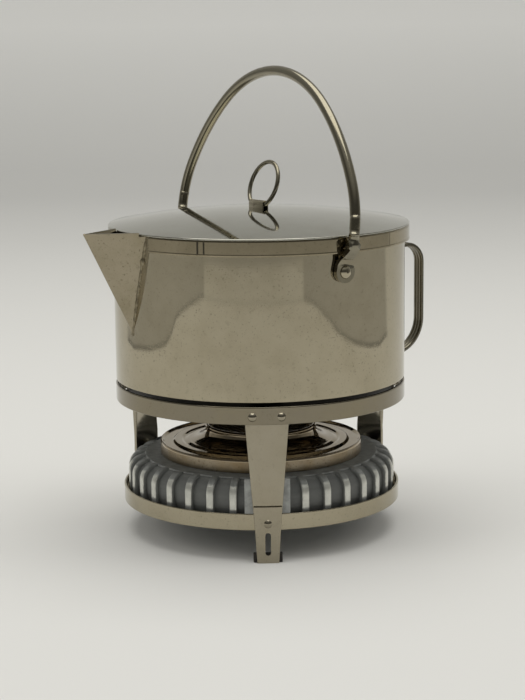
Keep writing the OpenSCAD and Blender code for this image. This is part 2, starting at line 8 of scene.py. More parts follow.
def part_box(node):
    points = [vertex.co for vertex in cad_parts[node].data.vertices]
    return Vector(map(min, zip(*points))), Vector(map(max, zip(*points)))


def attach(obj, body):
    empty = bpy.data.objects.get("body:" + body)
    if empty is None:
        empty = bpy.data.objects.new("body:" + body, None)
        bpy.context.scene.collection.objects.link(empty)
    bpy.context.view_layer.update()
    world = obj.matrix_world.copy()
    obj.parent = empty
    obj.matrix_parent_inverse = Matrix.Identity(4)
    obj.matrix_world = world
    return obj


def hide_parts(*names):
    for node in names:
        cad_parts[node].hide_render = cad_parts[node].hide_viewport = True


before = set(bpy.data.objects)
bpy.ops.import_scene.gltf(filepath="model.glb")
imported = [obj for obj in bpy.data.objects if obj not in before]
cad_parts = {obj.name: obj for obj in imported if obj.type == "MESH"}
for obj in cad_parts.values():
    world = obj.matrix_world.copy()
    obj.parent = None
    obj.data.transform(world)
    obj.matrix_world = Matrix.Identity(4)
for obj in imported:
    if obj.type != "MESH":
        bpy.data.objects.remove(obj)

bl_info = {
    "name": "Spirit kettle on stand",
    "version": (1, 0, 0),
    "blender": (4, 5, 0),
    "location": "3D View > Sidebar > Kettle",
    "description": "Dresses the travelling spirit kettle, its stand and its burner",
    "category": "Object",
}

MM = 0.001

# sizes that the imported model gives, in mm
WALL_LOW, WALL_HIGH = (corner/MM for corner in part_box("kettle_wall"))
BODY_R = WALL_HIGH.x
SHEET = 0.8
LID_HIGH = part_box("lid_top")[1]/MM
BAND_LOW, BAND_HIGH = (corner/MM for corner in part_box("lid_band"))
TOP_HOOP_LOW, TOP_HOOP_HIGH = (corner/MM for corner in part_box("upper_hoop"))
LOW_HOOP_LOW, LOW_HOOP_HIGH = (corner/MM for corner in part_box("lower_hoop"))
BURNER_LOW, BURNER_HIGH = (corner/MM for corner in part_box("burner_body"))
PAN_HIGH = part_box("burner_pan")[1]/MM
COLLAR_LOW, COLLAR_HIGH = (corner/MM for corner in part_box("burner_collar"))
GAUZE_LOW, GAUZE_HIGH = (corner/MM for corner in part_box("burner_gauze"))
SPOUT_LOW, SPOUT_HIGH = (corner/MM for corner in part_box("spout"))
BASE_HOLE_R, SHOULDER_R = 41.0, 6.5

# where the photograph was taken from, in mm, its turns in degrees, and its lens for a frame 700 px high
VIEW_FROM = Vector((-427.48, -676.21, 226.43))
VIEW_DOWN, VIEW_YAW, VIEW_ROLL = 10.35, 0.08, 0.595
FOCAL_PX, FRAME_H = 1799.76, 700
CAMERA_SIDE = degrees(atan2(VIEW_FROM.y, VIEW_FROM.x))


def linear(code):
    """A colour written as an sRGB hex code, as linear red, green, blue and alpha."""
    parts = [int(code[i:i + 2], 16)/255 for i in (1, 3, 5)]
    return tuple(c/12.92 if c <= 0.04045 else ((c + 0.055)/1.055)**2.4 for c in parts) + (1.0,)


def add(tree, kind, links=None, **settings):
    """Adds one node, with its settings, its fixed inputs and its links."""
    made = tree.nodes.new(kind)
    for key, value in settings.items():
        setattr(made, key, value)
    for key, value in (links or {}).items():
        if isinstance(value, bpy.types.NodeSocket):
            tree.links.new(value, made.inputs[key])
        else:
            made.inputs[key].default_value = value
    return made


def ramp(tree, fac, *stops):
    """A colour ramp over fac whose stops are (place, grey or colour)."""
    made = add(tree, "ShaderNodeValToRGB", {"Fac": fac})
    band = made.color_ramp
    while len(band.elements) < len(stops):
        band.elements.new(1.0)
    for element, (place, colour) in zip(band.elements, stops):
        element.position = place
        element.color = colour if isinstance(colour, tuple) else (colour, colour, colour, 1.0)
    return made.outputs["Color"]


def new_finish(name):
    """An empty material, its node tree and the object's own coordinates."""
    finish = bpy.data.materials.new(name)
    finish.use_nodes = True
    tree = finish.node_tree
    tree.nodes.clear()
    where = add(tree, "ShaderNodeTexCoord").outputs["Object"]
    return finish, tree, where


def close_finish(tree, colour, metallic, roughness, bump=None, specular=0.5):
    """Ends a finish in one surface shader."""
    links = {"Base Color": colour, "Metallic": metallic, "Roughness": roughness,
             "Specular IOR Level": specular}
    if bump:
        links["Normal"] = bump
    shader = add(tree, "ShaderNodeBsdfPrincipled", links)
    add(tree, "ShaderNodeOutputMaterial", {"Surface": shader.outputs[0]})


def mixed(tree, fac, one, two):
    """One colour turning into another one as fac goes from 0 to 1."""
    return add(tree, "ShaderNodeMix", {0: fac, 6: one, 7: two}, data_type="RGBA").outputs[2]


def darker(colour, part):
    return tuple(part*c for c in colour[:3]) + (1.0,)


def sums(tree, operation, one, two=0.0, three=0.0):
    return add(tree, "ShaderNodeMath", {0: one, 1: two, 2: three}, operation=operation).outputs[0]


def share(tree, value, low, high):
    """How far a value has come from low to high, between 0 and 1."""
    return add(tree, "ShaderNodeMapRange", {"Value": value, "From Min": low, "From Max": high}).outputs[0]


def cloudy(tree, place, scale, detail, roughness=0.5, distortion=0.0):
    """Noise with features about 1/scale metres across."""
    return add(tree, "ShaderNodeTexNoise",
               {"Vector": place, "Scale": scale, "Detail": detail, "Roughness": roughness,
                "Distortion": distortion}).outputs["Fac"]


def bumped(tree, height, depth, strength=1.0, on=None, invert=False):
    """A bump of a depth in metres, on top of another bump where there is one."""
    links = {"Height": height, "Strength": strength, "Distance": depth}
    if on:
        links["Normal"] = on
    return add(tree, "ShaderNodeBump", links, invert=invert).outputs[0]


def length(tree, x, y):
    flat = add(tree, "ShaderNodeCombineXYZ", {"X": x, "Y": y}).outputs[0]
    return add(tree, "ShaderNodeVectorMath", {0: flat}, operation="LENGTH").outputs["Value"]


def facing(tree, where):
    """Coordinates turned about the kettle's axis so that X points at the camera."""
    turned = add(tree, "ShaderNodeVectorRotate", {"Vector": where, "Angle": -radians(CAMERA_SIDE)},
                 rotation_type="Z_AXIS").outputs[0]
    return add(tree, "ShaderNodeSeparateXYZ", {"Vector": turned}).outputs


def nickel(name, clean, stain, rough, stained, dents, pits, marked, seed):
    """Nickel plate on brass, drawn sheet polished by hand: mirror reflections, pulled by shallow
    dents, torn by level polishing marks, broken by fine pits, and duller where it is stained."""
    finish, tree, where = new_finish(name)
    shift = (seed, 0.3*seed, 0.7*seed)
    place = add(tree, "ShaderNodeMapping", {"Vector": where, "Location": shift}).outputs[0]
    # stains 12 to 30 mm across, pits 0.5 to 1 mm, polishing marks 0.4 mm apart
    dirt = ramp(tree, cloudy(tree, place, 62.0, 6.0, 0.62), (0.42, 0.0), (0.72, stained))
    spots = ramp(tree, cloudy(tree, place, 420.0, 3.0, 0.7), (0.58, 0.0), (0.75, 0.45*pits))
    holes = ramp(tree, cloudy(tree, place, 1150.0, 2.0), (0.63, 0.0), (0.72, 0.7*pits))
    flat = add(tree, "ShaderNodeMapping", {"Vector": place, "Scale": (1.0, 1.0, 22.0)}).outputs[0]
    marks = cloudy(tree, flat, 95.0, 4.0, 0.65)
    colour = mixed(tree, dirt, clean, stain)
    colour = mixed(tree, spots, colour, darker(stain, 0.62))
    colour = mixed(tree, holes, colour, darker(stain, 0.4))
    gloss = sums(tree, "MULTIPLY_ADD", dirt, 0.08, rough)
    gloss = sums(tree, "MULTIPLY_ADD", spots, 0.25, gloss)
    bump = bumped(tree, cloudy(tree, place, 30.0, 2.0, 0.4), 0.00042*dents)
    bump = bumped(tree, marks, 0.00002*marked, on=bump)
    bump = bumped(tree, holes, 0.00002, 0.4, on=bump, invert=True)
    close_finish(tree, colour, 1.0, gloss, bump)


def painted_casting(name, paint, bare, outer_r, low, high, turn_z, worn=1.0):
    """Cast iron under thin dark grey paint, worn to dull bare metal on the ribs' outer faces, which
    turn in over the shoulder above turn_z. Painted shade darkens the paint deep between the ribs."""
    finish, tree, where = new_finish(name)
    axes = add(tree, "ShaderNodeSeparateXYZ", {"Vector": where}).outputs
    out = length(tree, axes["X"], axes["Y"])
    # casting grain 0.6 mm across and wear patches 4 mm across
    grain = cloudy(tree, where, 1300.0, 4.0)
    patch = cloudy(tree, where, 260.0, 5.0, 0.65)
    rise = sums(tree, "MAXIMUM", sums(tree, "SUBTRACT", axes["Z"], turn_z*MM), 0.0)
    reach = sums(tree, "SUBTRACT", out, (outer_r - SHOULDER_R)*MM)
    depth = length(tree, reach, rise)
    edge = sums(tree, "MULTIPLY_ADD", patch, 0.0012, depth)
    face = share(tree, edge, SHOULDER_R*MM - 0.00005, SHOULDER_R*MM + 0.0003)
    height = sums(tree, "MULTIPLY_ADD", patch, 0.0014, axes["Z"])
    over = share(tree, height, low*MM, (low + 0.8)*MM)
    under = share(tree, height, (high + 0.8)*MM, high*MM)
    wear = sums(tree, "MULTIPLY", sums(tree, "MULTIPLY", face, over), sums(tree, "MULTIPLY", under, worn))
    wear = sums(tree, "MULTIPLY", wear, ramp(tree, patch, (0.3, 0.72), (0.6, 1.0)))
    tone = mixed(tree, ramp(tree, patch, (0.35, 0.0), (0.7, 1.0)), paint, darker(paint, 0.55))
    # painted shade: the paint darkens deep between the ribs, where shade falls
    painted_groove_shade = share(tree, depth, (SHOULDER_R - 0.9)*MM, (SHOULDER_R - 1.9)*MM)
    tone = mixed(tree, painted_groove_shade, tone, darker(paint, 0.5))
    colour = mixed(tree, wear, tone, bare)
    close_finish(tree, colour, sums(tree, "MULTIPLY_ADD", wear, 0.75, 0.1),
                 sums(tree, "MULTIPLY_ADD", wear, -0.12, 0.5), bumped(tree, grain, 0.00008, 0.5))


def browned_with_painted_shade(name, clean, soot, rim_r):
    """Plate that the flame has browned, and painted black outside rim_r as shade under the kettle's edge and
    in the gap above the upper hoop.
    """
    finish, tree, where = new_finish(name)
    axes = add(tree, "ShaderNodeSeparateXYZ", {"Vector": where}).outputs
    out = length(tree, axes["X"], axes["Y"])
    # clouds 15 mm across, in the browning and along the edge of the painted shade
    cloud = cloudy(tree, where, 65.0, 5.0, 0.6)
    far = share(tree, sums(tree, "MULTIPLY_ADD", cloud, 0.006, out), rim_r*MM, (rim_r + 5)*MM)
    tone = mixed(tree, ramp(tree, cloud, (0.4, 0.0), (0.7, 0.6)), clean, darker(clean, 0.5))
    close_finish(tree, mixed(tree, far, tone, soot), 1.0, sums(tree, "MULTIPLY_ADD", far, 0.15, 0.22))


def rubber(name, colour, dust_colour):
    """Moulded black rubber, dusty and matt."""
    finish, tree, where = new_finish(name)
    dust = cloudy(tree, where, 700.0, 4.0)
    tone = mixed(tree, ramp(tree, dust, (0.4, 0.0), (0.75, 0.5)), colour, dust_colour)
    close_finish(tree, tone, 0.0, 0.72, bumped(tree, dust, 0.00008, 0.4))


def fibre(name, colour, burnt):
    """Packed mineral fibre, matt, with strands about 0.5 mm wide and scorched patches."""
    finish, tree, where = new_finish(name)
    strands = cloudy(tree, where, 900.0, 5.0, distortion=1.4)
    scorch = cloudy(tree, where, 130.0, 3.0)
    tone = mixed(tree, ramp(tree, scorch, (0.42, 0.0), (0.66, 0.8)), colour, burnt)
    close_finish(tree, tone, 0.0, 0.95, bumped(tree, strands, 0.0003, 0.9))


def solder(name, colour, brown):
    """Tin solder laid by hand along a seam: dull, lumpy and browner than the plate."""
    finish, tree, where = new_finish(name)
    lump = cloudy(tree, where, 480.0, 4.0, 0.6)
    tone = mixed(tree, ramp(tree, lump, (0.4, 0.0), (0.66, 0.85)), colour, brown)
    close_finish(tree, tone, 0.85, 0.42, bumped(tree, lump, 0.0003, 0.8))


def reflected_zones(tree, where):
    """What polished metal sees of the floor: pale near the kettle, and darker past the edge of the
    sheet that it stands on, with one paler block straight ahead, under a thin dark line."""
    axes = facing(tree, where)
    far = length(tree, axes["X"], axes["Y"])
    turn = sums(tree, "MULTIPLY_ADD", sums(tree, "ARCTAN2", axes["Y"], axes["X"]), 0.5/pi, 0.5)
    # the sheet's edge: (degrees round from the camera, metres from the kettle's axis)
    edges = [(-126, 0.564), (-122, 0.542), (-111, 0.523), (-99, 0.525), (-88, 0.538), (-79, 0.555),
             (-74, 0.569), (-69, 0.612), (-67, 0.654), (-65, 0.692), (-60, 0.728), (-52, 0.764),
             (-43, 0.791), (-29, 0.778), (-16, 0.768), (-2, 0.764), (14, 0.771), (24, 0.778),
             (32, 0.793), (40, 0.774), (45, 0.74), (49, 0.699), (55, 0.653), (60, 0.611),
             (67, 0.582), (77, 0.556), (90, 0.539), (102, 0.534), (112, 0.56)]
    edge = ramp(tree, turn, *[((a + 180)/360, d/2.5) for a, d in edges])
    past = sums(tree, "SUBTRACT", far, sums(tree, "MULTIPLY", edge, 2.5))
    past = sums(tree, "MULTIPLY_ADD", past, 10.0, 0.1)
    dark = ramp(tree, past, (0.08, 0.0), (0.12, 1.0), (0.24, 0.95), (0.34, 0.55), (1.0, 0.5))
    seen = ramp(tree, turn, (0.155, 0.0), (0.165, 1.0), (0.81, 1.0), (0.82, 0.0))
    dark = sums(tree, "MULTIPLY", dark, seen)
    block = ramp(tree, turn, (0.383, 0.0), (0.387, 1.0), (0.589, 1.0), (0.593, 0.0))
    line = ramp(tree, past, (0.08, 0.0), (0.1, 0.7), (0.15, 0.7), (0.18, 0.0))
    pale = sums(tree, "MULTIPLY", block, share(tree, far, 1.05, 0.98))
    dark = sums(tree, "MULTIPLY", dark, sums(tree, "MULTIPLY_ADD", pale, -0.85, 1.0))
    return sums(tree, "MAXIMUM", dark, sums(tree, "MULTIPLY", line, pale))


def floor_paper(name, colour, behind, dim):
    """Pale matt paper, made a little darker further off by painted shade, and paler where it climbs by
    painted light. Only polished metal sees the darker room past the paper's edge."""
    finish, tree, where = new_finish(name)
    light = add(tree, "ShaderNodeLightPath").outputs
    axes = facing(tree, where)
    # painted shade: the floor darkens a little further off
    colour = mixed(tree, share(tree, axes["X"], -0.15, -1.1), colour, darker(colour, 0.9))
    # painted light: the paper is paler where it climbs, where the lamps light it less
    paper = mixed(tree, share(tree, axes["Z"], 0.0, 0.22), colour, behind)
    zones = sums(tree, "MULTIPLY", reflected_zones(tree, where), light["Is Glossy Ray"])
    close_finish(tree, mixed(tree, zones, paper, dim), 0.0, 0.9, specular=0.0)


def shown(name, data):
    """A new object in the scene."""
    made = bpy.data.objects.new(name, data)
    bpy.context.scene.collection.objects.link(made)
    return made


def to_object(bm, name, finish, sharp=35.0, merge=1e-7):
    """Closes a mesh: merges its doubles, turns its faces outwards and shades it smooth."""
    bmesh.ops.remove_doubles(bm, verts=bm.verts, dist=merge)
    bmesh.ops.dissolve_degenerate(bm, edges=bm.edges, dist=merge)
    bmesh.ops.recalc_face_normals(bm, faces=bm.faces)
    mesh = bpy.data.meshes.new(name)
    bm.to_mesh(mesh)
    bm.free()
    made = shown(name, mesh)
    smooth(made, sharp)
    if finish:
        mesh.materials.append(bpy.data.materials[finish])
    return made


def smooth(made, sharp=35.0):
    """Shades a piece smooth but for its edges sharper than the angle, in degrees."""
    made.data.shade_smooth()
    made.data.set_sharp_from_angle(angle=radians(sharp))


def rounded(corners, parts=4):
    """A closed outline of (x, y) or (x, y, radius) corners, with the given radii drawn in."""
    out = []
    for i, corner in enumerate(corners):
        here = Vector(corner[:2])
        if len(corner) < 3:
            out.append((here.x, here.y))
            continue
        back = Vector(corners[i - 1][:2]) - here
        on = Vector(corners[(i + 1) % len(corners)][:2]) - here
        reach = 0.48*min(back.length, on.length)
        back.normalize()
        on.normalize()
        half = acos(max(-1.0, min(1.0, back.dot(on))))/2
        r = min(corner[2], reach*tan(half))
        centre = here + (back + on).normalized()*r/sin(half)
        one = here + back*r/tan(half) - centre
        two = here + on*r/tan(half) - centre
        first = atan2(one.y, one.x)
        sweep = (atan2(two.y, two.x) - first + pi) % (2*pi) - pi
        for k in range(parts + 1):
            a = first + sweep*k/parts
            out.append((centre.x + r*cos(a), centre.y + r*sin(a)))
    return out


def supported(section, near=0.25):
    """The section with two more points on each long straight stretch, close to its ends, so that the
    shading of a mirror-flat face isn't pulled by the rounded edges beside it."""
    out = []
    for here, after in zip(section, section[1:] + section[:1]):
        out.append(here)
        span = (Vector(after) - Vector(here))
        if span.length > 4*near:
            step = span.normalized()*near
            out += [(here[0] + step.x, here[1] + step.y), (after[0] - step.x, after[1] - step.y)]
    return out


def lathe(name, section, finish, start=0.0, end=360.0, steps=240, sharp=35.0):
    """Turns a closed section of (radius, height) points in mm about the kettle's axis."""
    section = supported(section)
    bm = bmesh.new()
    whole = end - start >= 360
    count = steps if whole else steps + 1
    rows = []
    for i in range(count):
        a = radians(start + (end - start)*i/steps)
        rows.append([bm.verts.new((r*MM*cos(a), r*MM*sin(a), z*MM)) for r, z in section])
    n = len(section)
    for i in range(steps):
        one, two = rows[i], rows[(i + 1) % count]
        for j in range(n):
            k = (j + 1) % n
            bm.faces.new((one[j], two[j], two[k], one[k]))
    if not whole:
        bm.faces.new(rows[0])
        bm.faces.new(list(reversed(rows[-1])))
    return to_object(bm, name, finish, sharp)


def shell(name, grid, finish, closed=False, sharp=35.0, caps=False):
    """A surface through rows of points in mm. Each row is closed round where closed is true."""
    bm = bmesh.new()
    rows = [[bm.verts.new(Vector(p)*MM) for p in row] for row in grid]
    for one, two in zip(rows, rows[1:]):
        n = len(one)
        for j in range(n if closed else n - 1):
            k = (j + 1) % n
            bm.faces.new((one[j], one[k], two[k], two[j]))
    if caps:
        bm.faces.new(rows[0])
        bm.faces.new(list(reversed(rows[-1])))
    return to_object(bm, name, finish, sharp)


def settle(made):
    """Applies the modifiers of a piece and leaves a plain mesh."""
    seen = made.evaluated_get(bpy.context.evaluated_depsgraph_get())
    mesh = bpy.data.meshes.new_from_object(seen)
    made.modifiers.clear()
    if made.type == "MESH":
        made.data = mesh
        return made
    name = made.name
    bpy.data.objects.remove(made)
    return shown(name, mesh)


def cut_through(piece, outline, near, far, turn=0.0):
    """Cuts a straight hole into a piece: its outline is in (across, height) and it runs between two
    distances from the kettle's axis, all in mm."""
    bm = bmesh.new()
    ends = [[bm.verts.new((x*MM, y*MM, z*MM)) for y, z in outline] for x in (near, far)]
    bm.faces.new(ends[0])
    bm.faces.new(list(reversed(ends[1])))
    for i in range(len(outline)):
        k = (i + 1) % len(outline)
        bm.faces.new((ends[0][i], ends[1][i], ends[1][k], ends[0][k]))
    bmesh.ops.rotate(bm, verts=bm.verts, matrix=Matrix.Rotation(radians(turn), 3, "Z"))
    cutter = to_object(bm, "cutter", None)
    cut = piece.modifiers.new("opening", "BOOLEAN")
    cut.operation = "DIFFERENCE"
    cut.object = cutter
    cut.solver = "EXACT"
    settle(piece)
    bpy.data.objects.remove(cutter)
    smooth(piece)


def break_edges(made, width, segments, angle):
    """Breaks a piece's edges, sharper than the angle in degrees, by a bevel of a width in mm."""
    edge = made.modifiers.new("broken edges", "BEVEL")
    edge.width = width*MM
    edge.segments = segments
    edge.limit_method = "ANGLE"
    edge.angle_limit = radians(angle)


def strap(name, turn, inner_r, outer_r, widths, finish):
    """A strip of sheet bent to the hoops' curve, as wide as its (height, half width) pairs say."""
    rows = []
    levels = supported(widths)
    for z, half in levels[:levels.index(widths[-1]) + 1]:
        across = [half*(j/12 - 1) for j in range(25)]
        row = [(sqrt(outer_r*outer_r - y*y), y, z) for y in across]
        row += [(sqrt(inner_r*inner_r - y*y), y, z) for y in reversed(across)]
        rows.append(row)
    made = shell(name, rows, finish, closed=True, caps=True, sharp=40)
    break_edges(made, sizes().edge, 2, 60)
    settle(made)
    made.data.transform(Matrix.Rotation(radians(turn), 4, "Z"))
    smooth(made, 48)
    return made


def merged_copy(node):
    """A copy of a CAD node's mesh with its loose triangles joined up."""
    bm = bmesh.new()
    bm.from_mesh(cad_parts[node].data)
    bmesh.ops.remove_doubles(bm, verts=bm.verts, dist=2e-6)
    return bm


def dress(node, finish, bevel=0.0, sharp=32.0):
    """A finished piece with a CAD node's exact shape: its triangles are joined and, where a bevel is
    given, its flat faces are made whole and its edges are broken by that small bevel."""
    bm = merged_copy(node)
    if bevel:
        bmesh.ops.dissolve_limit(bm, angle_limit=radians(0.4), verts=bm.verts, edges=bm.edges,
                                 delimit={"NORMAL"})
    made = to_object(bm, node + "_finished", finish, sharp, merge=2e-6)
    if bevel:
        break_edges(made, bevel, 2, 40)
        settle(made)
        smooth(made, 48)
    return made


def place(made, body, slot, *nodes):
    """Hands a finished piece over: the body that it rides on and the nodes it stands for, which it hides. The
    slot is not used.
    """
    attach(made, body)
    if nodes:
        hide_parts(*nodes)


def joined(name, pieces):
    """One object from several."""
    bm = bmesh.new()
    for piece in pieces:
        bm.from_mesh(piece.data)
    mesh = bpy.data.meshes.new(name)
    bm.to_mesh(mesh)
    bm.free()
    for material in pieces[0].data.materials:
        mesh.materials.append(material)
    made = shown(name, mesh)
    for piece in pieces:
        bpy.data.objects.remove(piece)
    return made


def new_tree(name, *inputs):
    """An empty geometry tree with named inputs. Gives the tree, its input node and its input names."""
    tree = bpy.data.node_groups.new(name, "GeometryNodeTree")
    named = {}
    for label, kind, default in inputs:
        socket = tree.interface.new_socket(label, in_out="INPUT", socket_type="NodeSocket" + kind)
        if default is not None:
            socket.default_value = default
        named[label] = socket.identifier
    tree.interface.new_socket("Geometry", in_out="OUTPUT", socket_type="NodeSocketGeometry")
    return tree, add(tree, "NodeGroupInput").outputs, named


def close_tree(tree, geometry, finish):
    real = add(tree, "GeometryNodeRealizeInstances", {"Geometry": geometry})
    smooth = add(tree, "GeometryNodeSetShadeSmooth", {"Geometry": real.outputs[0]})
    coated = add(tree, "GeometryNodeSetMaterial", {"Geometry": smooth.outputs[0], "Material": finish})
    add(tree, "NodeGroupOutput", {"Geometry": coated.outputs[0]})


def run_tree(tree, named, values, name, base=None):
    """Runs a tree on an object and gives its result as a plain mesh piece."""
    if base is None:
        base = shown(name, bpy.data.meshes.new(name))
    work = base.modifiers.new(tree.name, "NODES")
    work.node_group = tree
    for label, value in values.items():
        work[named[label]] = value
    made = settle(base)
    made.name = name
    if not made.data.materials:
        made.data.materials.append(values["Finish"])
    made.data.set_sharp_from_angle(angle=radians(35))
    return made


def round_the_axis():
    """Copies of one piece set evenly round the kettle's axis."""
    tree, given, named = new_tree("pieces round the axis", ("Piece", "Object", None), ("Count", "Int", 3),
                                  ("First turn", "Float", 0.0), ("Finish", "Material", None))
    points = add(tree, "GeometryNodePoints", {"Count": given["Count"]})
    number = add(tree, "GeometryNodeInputIndex").outputs[0]
    turn = sums(tree, "MULTIPLY_ADD", number, sums(tree, "DIVIDE", 2*pi, given["Count"]), given["First turn"])
    way = add(tree, "ShaderNodeCombineXYZ", {"Z": turn}).outputs[0]
    piece = add(tree, "GeometryNodeObjectInfo", {"Object": given["Piece"]}).outputs["Geometry"]
    placed = add(tree, "GeometryNodeInstanceOnPoints",
                 {"Points": points.outputs[0], "Instance": piece, "Rotation": way})
    close_tree(tree, placed.outputs[0], given["Finish"])
    return tree, named


def set_round(piece, count, first, finish, name):
    tree = bpy.data.node_groups.get("pieces round the axis")
    if tree is None:
        tree, named = round_the_axis()
    named = {s.name: s.identifier for s in tree.interface.items_tree if s.in_out == "INPUT"}
    made = run_tree(tree, named, {"Piece": piece, "Count": count, "First turn": radians(first),
                                  "Finish": bpy.data.materials[finish]}, name)
    bpy.data.objects.remove(piece)
    return made


def rod_tree():
    """A round rod swept along a path, with flat ends."""
    tree, given, named = new_tree("rod along a path", ("Path", "Geometry", None), ("Radius", "Float", 0.002),
                                  ("Sides", "Int", 40), ("Finish", "Material", None))
    section = add(tree, "GeometryNodeCurvePrimitiveCircle",
                  {"Resolution": given["Sides"], "Radius": given["Radius"]})
    swept = add(tree, "GeometryNodeCurveToMesh", {"Curve": given["Path"], "Profile Curve": section.outputs[0],
                                                  "Fill Caps": True})
    close_tree(tree, swept.outputs[0], given["Finish"])
    return tree, named


def gauze_tree():
    """Two crossing sets of wires, woven over and under each other and cut to a disc."""
    tree, given, named = new_tree("woven wire disc", ("Disc radius", "Float", 0.02),
                                  ("Pitch", "Float", 0.002), ("Wire radius", "Float", 0.0003),
                                  ("Height", "Float", 0.0), ("Finish", "Material", None))
    spread = sums(tree, "DIVIDE", given["Disc radius"], given["Pitch"])
    number = sums(tree, "FLOOR", spread)
    count = sums(tree, "MULTIPLY_ADD", number, 2.0, 1.0)
    below = sums(tree, "MULTIPLY", sums(tree, "MULTIPLY", number, given["Pitch"]), -1.0)
    minus = sums(tree, "MULTIPLY", given["Disc radius"], -1.0)
    samples = sums(tree, "MULTIPLY", spread, 16.0)
    start = add(tree, "ShaderNodeCombineXYZ", {"X": minus}).outputs[0]
    end = add(tree, "ShaderNodeCombineXYZ", {"X": given["Disc radius"]}).outputs[0]
    wire = add(tree, "GeometryNodeCurvePrimitiveLine", {"Start": start, "End": end})
    wire = add(tree, "GeometryNodeResampleCurve", {"Curve": wire.outputs[0], "Count": samples})
    row_start = add(tree, "ShaderNodeCombineXYZ", {"Y": below}).outputs[0]
    row_step = add(tree, "ShaderNodeCombineXYZ", {"Y": given["Pitch"]}).outputs[0]
    row = add(tree, "GeometryNodeMeshLine", {"Count": count, "Start Location": row_start, "Offset": row_step})
    places = add(tree, "GeometryNodeMeshToPoints", {"Mesh": row.outputs[0]})
    wires = add(tree, "GeometryNodeInstanceOnPoints",
                {"Points": places.outputs[0], "Instance": wire.outputs[0]})
    wires = add(tree, "GeometryNodeRealizeInstances", {"Geometry": wires.outputs[0]})
    here = add(tree, "GeometryNodeInputPosition").outputs[0]
    axes = add(tree, "ShaderNodeSeparateXYZ", {0: here}).outputs
    far = add(tree, "ShaderNodeVectorMath", {0: here}, operation="LENGTH").outputs["Value"]
    outside = add(tree, "FunctionNodeCompare", {0: far, 1: given["Disc radius"]}, data_type="FLOAT",
                  operation="GREATER_THAN").outputs[0]
    half = sums(tree, "DIVIDE", pi, given["Pitch"])
    wave = sums(tree, "COSINE", sums(tree, "MULTIPLY", axes["X"], half))
    side = sums(tree, "COSINE", sums(tree, "MULTIPLY", axes["Y"], half))
    lift = sums(tree, "MULTIPLY", sums(tree, "MULTIPLY", wave, side), given["Wire radius"])
    trimmed = add(tree, "GeometryNodeDeleteGeometry", {"Geometry": wires.outputs[0], "Selection": outside},
                  domain="POINT")
    rise = add(tree, "ShaderNodeCombineXYZ", {"Z": lift}).outputs[0]
    woven = add(tree, "GeometryNodeSetPosition", {"Geometry": trimmed.outputs[0], "Offset": rise})
    # the second set runs the other way and dips where the first one rises
    other = add(tree, "GeometryNodeTransform", {"Geometry": woven.outputs[0], "Rotation": (pi, 0.0, pi/2)})
    both = add(tree, "GeometryNodeJoinGeometry")
    tree.links.new(woven.outputs[0], both.inputs[0])
    tree.links.new(other.outputs[0], both.inputs[0])
    section = add(tree, "GeometryNodeCurvePrimitiveCircle", {"Resolution": 8, "Radius": given["Wire radius"]})
    swept = add(tree, "GeometryNodeCurveToMesh",
                {"Curve": both.outputs[0], "Profile Curve": section.outputs[0], "Fill Caps": True})
    up = add(tree, "ShaderNodeCombineXYZ", {"Z": given["Height"]}).outputs[0]
    raised = add(tree, "GeometryNodeTransform",
                 {"Geometry": swept.outputs[0], "Translation": up, "Rotation": (0.0, 0.0, pi/4)})
    close_tree(tree, raised.outputs[0], given["Finish"])
    return tree, named


def size_of(label, about, default, low, high):
    return bpy.props.FloatProperty(name=label, description=about + ", in mm", default=default,
                                   min=low, max=high)


class KettleSizes(bpy.types.PropertyGroup):
    lathe_steps: bpy.props.IntProperty(name="Turning steps", description="Flats round each turned piece",
                                       default=288, min=96, max=512)
    rib_count: bpy.props.IntProperty(name="Ribs", description="Ribs round the burner",
                                     default=36, min=24, max=40)
    rib_w: size_of("Rib width", "Width of a rib", 3.2, 2.4, 3.8)
    rib_proud: size_of("Rib depth", "Depth of the grooves between the ribs", 2.0, 1.0, 3.0)
    edge: size_of("Broken edge", "Bevel on the legs' cut edges", 0.16, 0.05, 0.3)
    fold_r: size_of("Spout fold", "Radius of the spout's folded ridge", 0.8, 0.5, 3.0)
    bead_r: size_of("Solder bead", "Radius of the solder along the spout", 0.85, 0.4, 1.4)
    hoop_rivet_d: size_of("Hoop rivet head", "Diameter", 3.7, 3.0, 4.5)
    foot_rivet_d: size_of("Foot rivet head", "Diameter", 3.5, 3.0, 4.5)
    gauze_pitch: size_of("Gauze pitch", "Distance between the gauze's wires", 2.0, 1.2, 4.0)


def colour_of(label, about, code):
    return bpy.props.FloatVectorProperty(name=label, description=about, subtype="COLOR", size=4, min=0.0,
                                         max=1.0, default=linear(code))


